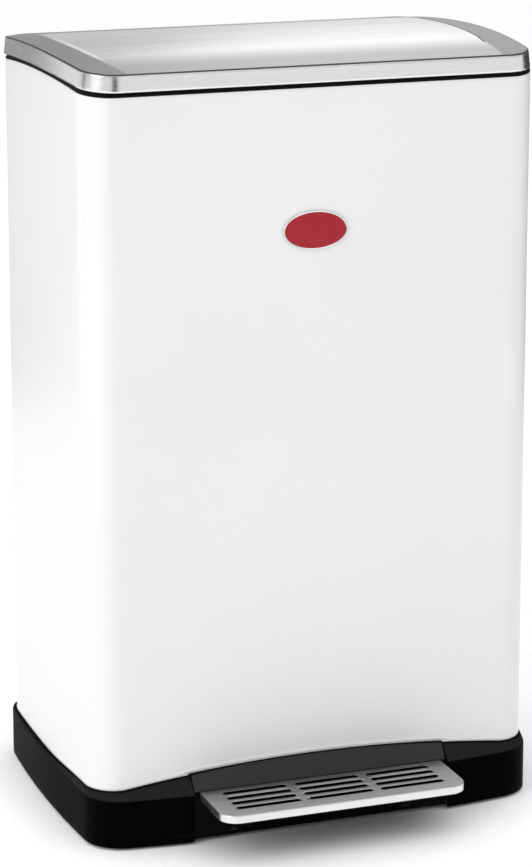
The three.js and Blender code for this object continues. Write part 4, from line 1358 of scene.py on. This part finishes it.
# ---------------------------------------------------------------- lid
@dataclass
class Lid:
    """The steel lid with its raised panel, the liner inside it, and the lug that the push rod lifts."""

    cabinet: Cabinet
    edge: Casing = Casing(396.6, 270.6, 27.9, side_bow=4.9, centre_y=3.6)
    foot: Casing = Casing(399.6, 271.4, 27.6, side_bow=4.2, centre_y=3.4)
    skirt_foot: float = 4.2
    skirt_top: float = 19.3
    fold: float = 2.0
    skin: float = 1.0
    crown: float = 2.3
    step: float = 1.5
    step_half: float = 0.9
    crease_reach: float = 174.8
    crease_draw: float = 8.0
    crease_middle: float = 5.0
    crease_span: float = 110.0
    panel_front: float = -111.0
    panel_rear: float = 122.0
    front_fade: float = 55.0
    rear_fade: float = 50.0
    liner_wall: float = 2.2

    def build(self, shop: Workshop) -> None:
        """The skin, the liner, and the slotted lug that the push rod's upper hook lifts."""
        self.shell(shop)
        self.liner(shop)
        shop.refine("lid_lug", shop.finishes.zinc, Body.LID, 0.4, "lid_lug_plate")

    def crease(self, y: Array) -> Array:
        """How far out the raised panel's crease runs: reach - draw ((y - middle) / span)^2."""
        return self.crease_reach - self.crease_draw * ((y - self.crease_middle) / self.crease_span) ** 2

    def surface(self, x: Array, y: Array) -> Array:
        """Height of the lid's top.

        The arch of the body, plus wings that rise a little towards the crease, plus a step up to the
        panel that fades out at the front and the back.
        """
        outside = np.abs(x) - self.crease(y)
        fade_in = smoothstep(y, self.panel_front, self.panel_front + self.front_fade)
        fade_out = 1 - smoothstep(y, self.panel_rear - self.rear_fade, self.panel_rear)
        wings = (self.crown - self.step) * (1 - smoothstep(outside, -30, 22))
        step = self.step * (1 - smoothstep(outside, -self.step_half, self.step_half))
        return self.cabinet.top(x, y) + self.skirt_top + fade_in * fade_out * (wings + step)

    def columns(self, rows: Array) -> Array:
        """Places in x for each row: even on the panel, close together at the crease, even on the wings."""
        reach = self.edge.inset(self.fold).half_width_at(rows)[:, None]
        crease = self.crease(rows)[:, None]
        near = np.array([-6.0, -3.0, -1.6, -0.9, -0.45, 0.0, 0.45, 0.9, 1.6])
        panel = np.linspace(0, 1, 40)[None, :-1] * (crease - 9)
        start = crease + 2.6
        wing = start + np.linspace(0, 1, 9)[None, :] ** 0.9 * (reach - start)
        right = np.concatenate([panel, crease + near[None, :], wing], axis=1)
        return np.concatenate([-right[:, :0:-1], right], axis=1)

    def shell(self, shop: Workshop) -> None:
        """The brushed steel skin."""
        inner = self.edge.inset(self.fold)
        front, back = inner.centre_y - inner.depth / 2, inner.centre_y + inner.depth / 2
        cover = PressedCover(
            rows=rows_between(front, back, inner.corner, 14, 56),
            columns=self.columns,
            height=self.surface,
            fold=self.fold,
            skirt=self.skirt_top - self.skirt_foot,
            flare=((self.foot.width - self.edge.width) / 2, (self.foot.depth - self.edge.depth) / 2),
            shift=self.foot.centre_y - self.edge.centre_y,
        )
        lid = shop.mesh("lid_pressing", cover.build(), closed=False)
        shop.thicken(lid, self.skin)
        shop.dress(lid, shop.finishes.lid_steel, Body.LID, "lid_skin", sharp=60)

    def liner(self, shop: Workshop) -> None:
        """The liner: a shallow pan that fills the skirt, with stiffening beads pressed into its underside.

        The underside is rings of the outline drawn in step by step. Its height is flat plus beads,
        each a smooth step up and down over the distance from the edge.
        """
        above = self.cabinet.above
        slack, wall, hem = self.skin + 0.3, self.liner_wall, self.skirt_foot
        edge, foot = self.edge.inset(slack), self.foot.inset(slack)
        top = self.skirt_top - self.skin - 0.5
        floor = top - wall
        upper = [
            foot.inset(0.35).ring(above(hem + 0.6)),
            foot.inset(0.1).ring(above(hem + 0.9)),
            edge.inset(0.2).ring(above(self.skirt_top - self.fold - 1)),
            edge.inset(0.9).ring(above(top - 0.5)),
            *(edge.inset(draw).ring(above(top)) for draw in (self.fold, 60, 120)),
        ]
        draws = np.concatenate([np.linspace(4.4, 60, 60), np.linspace(64, 124, 20)])
        bead = smoothstep(draws, 14, 17) * (1 - smoothstep(draws, 26, 29)) + smoothstep(draws, 44, 47)
        lower = [
            edge.inset(draw).ring(above(floor + (0.35 - 1.1 * height) * smoothstep(draw, 4, 10)))
            for draw, height in zip(draws[::-1], bead[::-1])
        ]
        lip = [
            edge.inset(3.4).ring(above(floor - 0.7)),
            foot.inset(wall + 0.2).ring(above(hem + 2.2)),
            foot.inset(wall).ring(above(hem + 0.9)),
            foot.inset(wall - 0.35).ring(above(hem + 0.6)),
        ]
        pan = Skin.grid(np.stack(upper), wrap_columns=True) + Skin.cap(upper[-1])
        below = [*lower, *lip, upper[0]]
        pan = pan + Skin.grid(np.stack(below), wrap_columns=True) + Skin.cap(below[0])
        shop.make("lid_liner_pan", pan, shop.finishes.moulding, Body.LID, "lid_liner", sharp=35)


# ---------------------------------------------------------------- tread
@dataclass
class Tread:
    """The foot tread: a folded brushed plate with three groups of four slots, on a moulded carrier."""

    half: float = 110.5
    back_y: float = -143.8
    front_y: float = -205.6
    top_z: float = 45.0
    lip: float = 6.6
    skin: float = 1.5
    corner: float = 16.0
    fold: float = 1.1
    slot_length: float = 57.0
    slot_width: float = 5.6
    slot_rows: int = 4
    row_pitch: float = 11.6
    first_y: float = -153.6
    group_pitch: float = 65.0

    def build(self, shop: Workshop) -> None:
        """The plate, and the moulded carrier under it."""
        self.plate(shop)
        shop.refine("tread_carrier", shop.finishes.moulding, Body.PEDAL, 0.5, "tread_carrier_block")

    def columns(self, rows: Array) -> Array:
        """Places in x: even steps out to the edge, which is a circle's arc at the two front corners."""
        radius = self.corner - self.fold
        front = self.front_y + self.fold
        dy = np.clip(front + radius - rows, 0, radius)
        reach = self.half - self.fold - radius + np.sqrt(radius**2 - dy**2)
        return reach[:, None] * np.linspace(-1, 1, 33)[None, :]

    def slot(self, x: float, y: float) -> Skin:
        """A cutter for one slot, round at both ends and flared at the top to leave a soft edge."""
        cos, sin = around(48)
        bend = (self.slot_length - self.slot_width) / 2
        levels = [(-3.0, 0.0), (-0.4, 0.0), (-0.2, 0.05), (-0.07, 0.15), (0.03, 0.3), (0.5, 0.3)]

        def ring(rise: float, grow: float) -> Array:
            """The slot's outline at one level."""
            radius = self.slot_width / 2 + grow
            across = x + np.where(cos > 0, bend, -bend) + radius * cos
            return np.stack([across, y + radius * sin, np.full(len(cos), self.top_z + rise)], axis=1)

        return Skin.loft([ring(rise, grow) for rise, grow in levels])

    def plate(self, shop: Workshop) -> None:
        """The slotted plate."""
        cover = PressedCover(
            rows=rows_between(self.front_y + self.fold, self.back_y, self.corner - self.fold, 12, 8, False),
            columns=self.columns,
            height=lambda x, y: np.full(x.shape, self.top_z),
            fold=self.fold,
            skirt=self.lip,
            open_back=True,
        )
        plate = shop.mesh("tread_pressing", cover.build(), closed=False)
        shop.thicken(plate, self.skin)
        slots = [
            self.slot(group * self.group_pitch, self.first_y - row * self.row_pitch)
            for group in (-1, 0, 1)
            for row in range(self.slot_rows)
        ]
        shop.carve(plate, sum(slots[1:], slots[0]))
        shop.dress(plate, shop.finishes.steel, Body.PEDAL, "tread_plate", sharp=38)


# ---------------------------------------------------------------- linkage and hinges
@dataclass
class Hinges:
    """Two hinges of a bracket on the body, a leaf in the lid, a pin and four screws each."""

    head: float = 3.5
    head_tall: float = 1.65
    shank: float = 1.6
    pin_shank: float = 2.2
    pin_head: float = 1.6

    def build(self, shop: Workshop) -> None:
        """Both hinges and the lug's screws."""
        zinc = shop.finishes.zinc
        for side in Side:
            shop.refine(f"hinge_bracket_{side.word}", zinc, Body.CABINET, 0.45)
            shop.refine(f"hinge_leaf_{side.word}", zinc, Body.LID, 0.45)
            self.pin(shop, f"hinge_pin_{side.word}")
            for end in "ab":
                self.screw(shop, f"hinge_screw_{side.word}_{end}", Axis.Y, Body.CABINET)
                self.screw(shop, f"leaf_screw_{side.word}_{end}", Axis.Z, Body.LID)
        for end in "ab":
            self.screw(shop, f"lug_screw_{end}", Axis.Z, Body.LID)

    def pin(self, shop: Workshop, node: str) -> None:
        """A hinge pin: a plain shank with a low domed head at its outer end."""
        low, high = shop.axes.corners_mm(node)
        middle = (low + high) / 2
        radius, shank, length, head = (high[1] - low[1]) / 2, self.pin_shank, high[0] - low[0], self.pin_head
        profile = [(0, 0), (shank - 0.5, 0), (shank, 0.5), (shank, length - head), (radius, length - head)]
        profile += [(radius, length - 0.9), (radius - 0.4, length - 0.4), (radius - 1.5, length - 0.1)]
        profile += [(0, length)]
        pin = turned(lathe(profile, 32), Axis.X, (low[0], middle[1], middle[2]))
        shop.make(f"{node}_turned", pin, shop.finishes.zinc, Body.CABINET, node)

    def screw(self, shop: Workshop, node: str, axis: Axis, body: Body) -> None:
        """A pan-head screw that faces backwards on the body and downwards under the lid."""
        low, high = shop.axes.corners_mm(node)
        down = axis is Axis.Z
        span = (high - low)[axis.value]
        seat = (low + high) / 2
        seat[axis.value] = low[2] + self.head_tall if down else high[1] - self.head_tall
        skin = turned(self.pan_head(span - self.head_tall), axis, seat, reverse=down)
        shop.make(f"{node}_head", skin, shop.finishes.zinc, body, node, sharp=45)

    def pan_head(self, length: float, rings: int = 13, steps: int = 48) -> Skin:
        """A pan-head screw about Z, its head up from 0 and its shank down.

        The head's height is tall (1 - (r/R)^4) less a cross-shaped recess: a smooth band of |u| or |v|
        inside half of the radius.
        """
        radius, tall = self.head, self.head_tall
        cos, sin = around(steps)
        r = np.linspace(0, 1, rings)[:, None] * radius * np.ones(steps)
        u, v = r * cos, r * sin
        arm = np.minimum(np.abs(u), np.abs(v))
        cross = 1 - smoothstep(arm, 0.10 * radius, 0.19 * radius)
        cross = cross * (1 - smoothstep(r, 0.5 * radius, 0.66 * radius))
        z = tall * (0.45 + 0.55 * (1 - (r / radius) ** 4)) - 0.55 * tall * cross
        below = [(radius, 0.0), (self.shank, 0.0), (self.shank, -length)]
        lower = [np.column_stack([cos * size, sin * size, np.full(steps, height)]) for size, height in below]
        body = np.concatenate([np.stack([u, v, z], axis=-1), np.stack(lower)])
        return Skin.grid(body, wrap_columns=True) + Skin.cap(lower[-1])


@dataclass
class Linkage:
    """The rocking shaft with its arms, and the hooked rod that it pushes up."""

    rod_x: float = 12.0
    rod_y: float = 113.0
    rod_radius: float = 2.5
    bend: float = 6.0
    tail_x: float = -6.0
    chamfer: float = 0.8

    def build(self, shop: Workshop) -> None:
        """Every part between the tread and the lid's lug."""
        dark, zinc = shop.finishes.dark_steel, shop.finishes.zinc
        for node in ("pedal_arm_left", "pedal_arm_right"):
            shop.refine(node, dark, Body.PEDAL)
        for node in ("lift_arm", "shaft_clip_left", "shaft_clip_right"):
            shop.refine(node, zinc, Body.PEDAL)
        for node in ("pedal_bracket_left", "pedal_bracket_right"):
            shop.refine(node, zinc, Body.CABINET)
        self.shaft(shop)
        self.rod(shop)

    def shaft(self, shop: Workshop) -> None:
        """The rocking shaft, chamfered at both ends."""
        low, high = shop.axes.corners_mm("rocking_shaft")
        middle, length, radius, cut = (low + high) / 2, high[0] - low[0], (high[2] - low[2]) / 2, self.chamfer
        profile = [(0, 0), (radius - cut, 0), (radius, cut)]
        profile += [(radius, length - cut), (radius - cut, length), (0, length)]
        shaft = turned(lathe(profile), Axis.X, (low[0], middle[1], middle[2]))
        shop.make("rocking_shaft_bar", shaft, shop.finishes.zinc, Body.PEDAL, "rocking_shaft")

    def rod(self, shop: Workshop) -> None:
        """The push rod: upright wire with both ends bent over into hooks."""
        low, high = shop.axes.corners_mm("lift_rod")
        bottom, top = low[2] + self.rod_radius, high[2] - self.rod_radius
        corners = [(self.tail_x, bottom), (self.rod_x, bottom), (self.rod_x, top), (self.tail_x, top)]
        route = rounded_route([(x, self.rod_y, z) for x, z in corners], [self.bend, self.bend])
        wire = bar(route, self.rod_radius, (0, -1, 0), 20)
        shop.make("lift_rod_wire", wire, shop.finishes.zinc, Body.PUSH_ROD, "lift_rod")


# ---------------------------------------------------------------- buckets
@dataclass
class Bucket:
    """One lift-out inner bucket with its wire bail and grip."""

    side: Side
    offset: float = 94.5
    centre_y: float = -10.0
    foot_z: float = 61.0
    rim_z: float = 527.0
    rim_tall: float = 6.0
    wall: float = 2.2
    lip: float = 3.5
    fillet: float = 7.0
    bead: float = 0.7
    bead_heights: tuple[float, float] = (430.0, 470.0)
    ear_y: float = 103.5
    bail_axis_z: float = 536.0
    bail_wire: float = 2.0
    bail_reach: float = 82.0
    bail_leg: float = 109.5
    grip_half: float = 38.0
    grip_radius: float = 6.0

    def build(self, shop: Workshop) -> None:
        """The cup, the bail and its grip."""
        self.cup(shop)
        self.bail(shop)

    @property
    def x(self) -> float:
        """The middle of the bucket."""
        return self.side.value * self.offset

    def cup(self, shop: Workshop) -> None:
        """The cup: drafted walls with two beads, a rounded foot and a rolled lip, and an ear at each end."""
        foot = Casing(152, 184, 22, centre_x=self.x, centre_y=self.centre_y)
        top = Casing(174, 206, 26, centre_x=self.x, centre_y=self.centre_y)
        rim, under = self.rim_z, self.rim_z - self.rim_tall
        turn = np.radians(np.linspace(0, 90, 7))

        def wall(z: float, out: float = 0.0) -> Array:
            """The outer wall's ring at a height, pushed out by a little for a bead."""
            return foot.toward(top, (z - self.foot_z) / (under - self.foot_z)).inset(-out).ring(z)

        def rounded(casing: Casing, floor: float, angles: Array) -> list[Array]:
            """Rings round the fillet between a floor and a wall."""
            return [
                casing.inset(self.fillet * (1 - math.sin(a))).ring(floor + self.fillet * (1 - math.cos(a)))
                for a in angles
            ]

        beads = [
            wall(centre + dz, self.bead * float(bell(dz, 3.4)))
            for centre in self.bead_heights
            for dz in (-8, -5, -3.5, -2, 0, 2, 3.5, 5, 8)
        ]
        outer, inner = -self.lip, self.wall
        lip = [(outer + 0.4, under), (outer, under + 0.5), (outer, rim - 1.1), (outer + 0.4, rim - 0.3)]
        lip += [(outer + 1.1, rim), (inner - 0.9, rim), (inner - 0.2, rim - 0.4), (inner, rim - 1.2)]
        floor, inner_foot = self.foot_z + self.wall, foot.inset(self.wall)
        rings = [foot.inset(60).ring(self.foot_z), *rounded(foot, self.foot_z, turn), *beads, wall(under)]
        rings += [top.inset(by).ring(z) for by, z in lip]
        rings += [*rounded(inner_foot, floor, turn[::-1]), inner_foot.inset(60).ring(floor)]
        name = f"bucket_{self.side.word}"
        cup = shop.mesh(f"{name}_cup", Skin.loft(rings))
        shop.add(cup, [self.ear(-1), self.ear(1)])
        shop.dress(cup, shop.finishes.grey, Body(name), name, sharp=38)

    def ear(self, end: int) -> Skin:
        """A flat ear with a round eye for the bail.

        Its edge at angle a is ((|cos a| / w)^6 + (|sin a| / h)^6)^(-1/6) from the eye's centre, a
        rectangle with soft corners; the eye is a plain circle.
        """
        wide, up, down, power = 9, 5.0, 13.6, 6
        y = self.centre_y + end * self.ear_y
        cos, sin = around(64)
        tall = np.where(sin > 0, up, down)
        reach = ((np.abs(cos) / wide) ** power + (np.abs(sin) / tall) ** power) ** (-1 / power)
        eye = np.full(len(cos), self.bail_wire + 0.3)

        def ring(radius: Array, face: float) -> Array:
            """A loop about the eye on one face of the ear."""
            place = self.x + radius * cos, np.full(len(cos), y + face), self.bail_axis_z + radius * sin
            return np.stack(place, axis=1)

        loops = [(reach - 0.35, -1.5), (reach, -1.1), (reach, 1.1), (reach - 0.35, 1.5), (eye + 0.2, 1.5)]
        loops += [(eye, 1.3), (eye, -1.3), (eye + 0.2, -1.5)]
        return Skin.loft([ring(radius, face) for radius, face in loops], closed=True)

    def bail(self, shop: Workshop) -> None:
        """The wire bail and its ribbed grip, laid flat round the bucket's outer side."""
        word, sign = self.side.word, self.side.value
        body = Body(f"bail_{word}")
        end, leg, reach = self.ear_y - 4, self.bail_leg, self.bail_reach
        corners = [(0, -end), (0, -leg), (reach, -leg), (reach, leg), (0, leg), (0, end)]
        points = [(self.x + sign * dx, self.centre_y + dy, self.bail_axis_z) for dx, dy in corners]
        route = rounded_route(points, [3.5, 20.0, 20.0, 3.5])
        wire = bar(route, self.bail_wire, (0, 0, 1))
        shop.make(f"bail_{word}_wire", wire, shop.finishes.zinc, body, f"bail_{word}")
        long, bore = 2 * self.grip_half, self.bail_wire + 0.3
        along = np.linspace(0, long, 77)
        swell = self.grip_radius - 0.55 + 0.5 * np.cos(2 * np.pi * along / 8) ** 2
        swell -= 1.2 * (bell(along, 1.4) + bell(along - long, 1.4))
        profile = [(bore, 0.0), *zip(swell, along), (bore, long)]
        centre = (self.x + sign * reach, self.centre_y - self.grip_half, self.bail_axis_z)
        sleeve = turned(lathe(profile, 28, closed=True), Axis.Y, centre)
        shop.make(f"bail_grip_{word}_sleeve", sleeve, shop.finishes.moulding, body, f"bail_grip_{word}")


# ---------------------------------------------------------------- studio
@dataclass(frozen=True)
class Lamp:
    """A rectangular light: where it stands, the height it faces over the origin, its size and its watts."""

    name: str
    place: Point
    aim_z: float
    size: tuple[float, float]
    power: float

    def build(self) -> None:
        """The light, which isn't itself seen."""
        data = bpy.data.lights.new(self.name, "AREA")
        data.shape = "RECTANGLE"
        data.size, data.size_y = self.size
        data.energy = self.power
        light = link(self.name, data)
        light.location = self.place
        toward = Vector((0, 0, self.aim_z)) - Vector(self.place)
        light.rotation_euler = toward.to_track_quat("-Z", "Y").to_euler()
        light.visible_camera = False


@dataclass(frozen=True)
class Card:
    """A dark card that only glossy surfaces see, a bearing in degrees round from the front to the left."""

    bearing: float
    width: float
    shade: float
    away: float = 1.5
    tall: float = 0.8

    def build(self, name: str) -> None:
        """The card on its edge, facing the bin."""
        angle = math.radians(self.bearing)
        out = np.array([-math.sin(angle), -math.cos(angle), 0.0])
        across = np.array([-out[1], out[0], 0.0]) * self.width / 2
        foot, up = out * self.away, np.array([0, 0, self.tall])
        corners = np.array([foot - across, foot + across, foot + across + up, foot - across + up])
        mesh = bare_mesh(name, corners, [(0, 1, 2, 3)])
        board = Board(f"{name}_cloth")
        dark, light = (self.shade,) * 3, (1.3 * self.shade,) * 3
        board.set(Base_Color=board.blend(board.noise(40.0), dark, light), Roughness=0.9)
        mesh.materials.append(board.material)
        card = link(name, mesh)
        card.visible_camera = card.visible_diffuse = card.visible_shadow = False


@dataclass
class Studio:
    """The pale floor, the soft lights and the camera."""

    azimuth: float = -20.149
    elevation: float = 12.429
    distance: float = 2.7128
    aim_drop: float = 0.646
    aim_forward: float = 0.0041
    lens: float = 129.4
    shift_y: float = -0.15
    floor_half: float = 60.0
    floor_glow: float = 0.09
    wall_away: float = 30.0
    wall_tall: float = 15.0
    sky: Colour = (0.985, 0.99, 1.0)
    lamps: tuple[Lamp, ...] = (
        Lamp("key_left", (-3.0, -1.2, 1.9), 0.35, (2.2, 2.2), 38),
        Lamp("fill_front", (1.2, -3.6, 2.0), 0.3, (2.0, 1.4), 7),
        Lamp("lid_panel", (1.4, 2.95, 1.85), 0.66, (0.9, 1.0), 2.5),
        Lamp("lid_panel_top", (1.4, 2.95, 2.75), 0.66, (0.9, 0.8), 1.3),
        Lamp("crease_glint", (-0.5, 3.0, 2.0), 0.66, (0.5, 0.6), 2.0),
    )
    cards: tuple[Card, ...] = (
        Card(10, 0.42, 0.01),
        Card(108, 0.2, 0.01),
        Card(166, 0.9, 0.28),
        Card(-112, 1.7, 0.01),
    )

    def camera(self, shift_y: float, top: float) -> None:
        """A camera to the front left of the bin, a little above its lid, aimed at the body's middle line."""
        data = bpy.data.cameras.new("studio_camera")
        data.sensor_width = 36.0
        data.lens = self.lens
        data.shift_y = self.shift_y
        data.clip_end = 200.0
        camera = link("studio_camera", data)
        aim = Vector((0.0, shift_y - self.aim_forward, top * self.aim_drop))
        around_z, up = math.radians(self.azimuth), math.radians(self.elevation)
        level = math.cos(up)
        toward = Vector((math.sin(around_z) * level, -math.cos(around_z) * level, math.sin(up)))
        camera.location = aim + toward * self.distance
        camera.rotation_euler = (-toward).to_track_quat("-Z", "Y").to_euler()
        bpy.context.scene.camera = camera

    def floor(self) -> None:
        """A wide pale floor, which glows faintly outside the bin's footprint."""
        corners = np.array([(-1, -1, 0), (1, -1, 0), (1, 1, 0), (-1, 1, 0)]) * self.floor_half
        data = bare_mesh("studio_floor", corners, [(0, 1, 2, 3)])
        board = Board("pale_floor")
        x, y, _ = board.place()
        out = board.ramp(x * x + y * y, 0.02, 0.05)
        board.set(
            Base_Color=board.blend(board.noise(1.5, detail=3.0), (0.97, 0.97, 0.97), (0.955, 0.955, 0.957)),
            Roughness=0.7,
            Specular_IOR_Level=0.1,
            Emission_Color=board.blend(out, (0.0, 0.0, 0.0), (1.0, 1.0, 1.0)),
            Emission_Strength=self.floor_glow,
        )
        data.materials.append(board.material)
        floor = link("studio_floor", data)

    def backdrop(self) -> None:
        """A white wall far behind, all the way round, that lights nothing and shows in no reflection."""
        cos, sin = around(64)
        rings = [
            np.stack([self.wall_away * cos, self.wall_away * sin, np.full(len(cos), z)], axis=1)
            for z in (0.0, self.wall_tall)
        ]
        wall = Skin.grid(np.stack(rings), wrap_columns=True)
        mesh = bare_mesh("studio_backdrop", wall.points, wall.quads.tolist())
        board = Board("white_backdrop")
        shade = board.blend(board.noise(0.3), (0.97, 0.97, 0.97), (0.99, 0.99, 0.99))
        board.set(Base_Color=(0.0, 0.0, 0.0), Specular_IOR_Level=0.0)
        board.set(Emission_Color=shade, Emission_Strength=1.0)
        mesh.materials.append(board.material)
        made = link("studio_backdrop", mesh)
        made.visible_diffuse = made.visible_glossy = made.visible_transmission = made.visible_shadow = False

    def surround(self) -> None:
        """A world whose strength rises smoothly from the horizon to overhead."""
        world = bpy.data.worlds.new("pale_surround")
        world.use_nodes = True
        tree = world.node_tree
        background = tree.nodes["Background"]
        background.inputs["Color"].default_value = (*self.sky, 1.0)
        split = tree.nodes.new("ShaderNodeSeparateXYZ")
        tree.links.new(tree.nodes.new("ShaderNodeTexCoord").outputs["Generated"], split.inputs[0])
        rise = tree.nodes.new("ShaderNodeMapRange")
        rise.interpolation_type = "SMOOTHSTEP"
        for name, value in {"From Min": 0.35, "From Max": 0.95, "To Min": 0.5, "To Max": 1.3}.items():
            rise.inputs[name].default_value = value
        tree.links.new(split.outputs["Z"], rise.inputs["Value"])
        tree.links.new(rise.outputs["Result"], background.inputs["Strength"])
        bpy.context.scene.world = world

    def lights(self) -> None:
        """A pale surround, a large key from the left, panels behind that brighten the lid, and dark cards."""
        self.surround()
        for lamp in self.lamps:
            lamp.build()
        for number, card in enumerate(self.cards):
            card.build(f"flag_{number}")
        bpy.context.scene.view_settings.view_transform = "Standard"


# ---------------------------------------------------------------- assembly
def main() -> None:
    """Build every sub-assembly in order, then the studio around it."""
    logging.basicConfig(level=logging.INFO, format="%(message)s")
    low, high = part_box("body_shell")
    axes = BinAxes((low.y + high.y) / 2)
    cabinet = Cabinet()
    plinth, lid, tread, badge = Plinth(cabinet.body), Lid(cabinet), Tread(), Badge()
    finishes = Wardrobe(axes, plinth, lid, tread, badge)
    shop = Workshop(frame["nodes"], axes, finishes)
    studio = Studio()
    studio.camera(axes.shift_y, CAD_BOX[1][2])
    cabinet.build(shop, plinth)
    for part in (badge, plinth, lid, Hinges(), Linkage(), tread, Bucket(Side.LEFT), Bucket(Side.RIGHT)):
        part.build(shop)
    LOG.info("nodes still shown as they are: %s", sorted(shop.left) or "none")
    studio.floor()
    studio.backdrop()
    studio.lights()


if __name__ == "__main__":
    main()
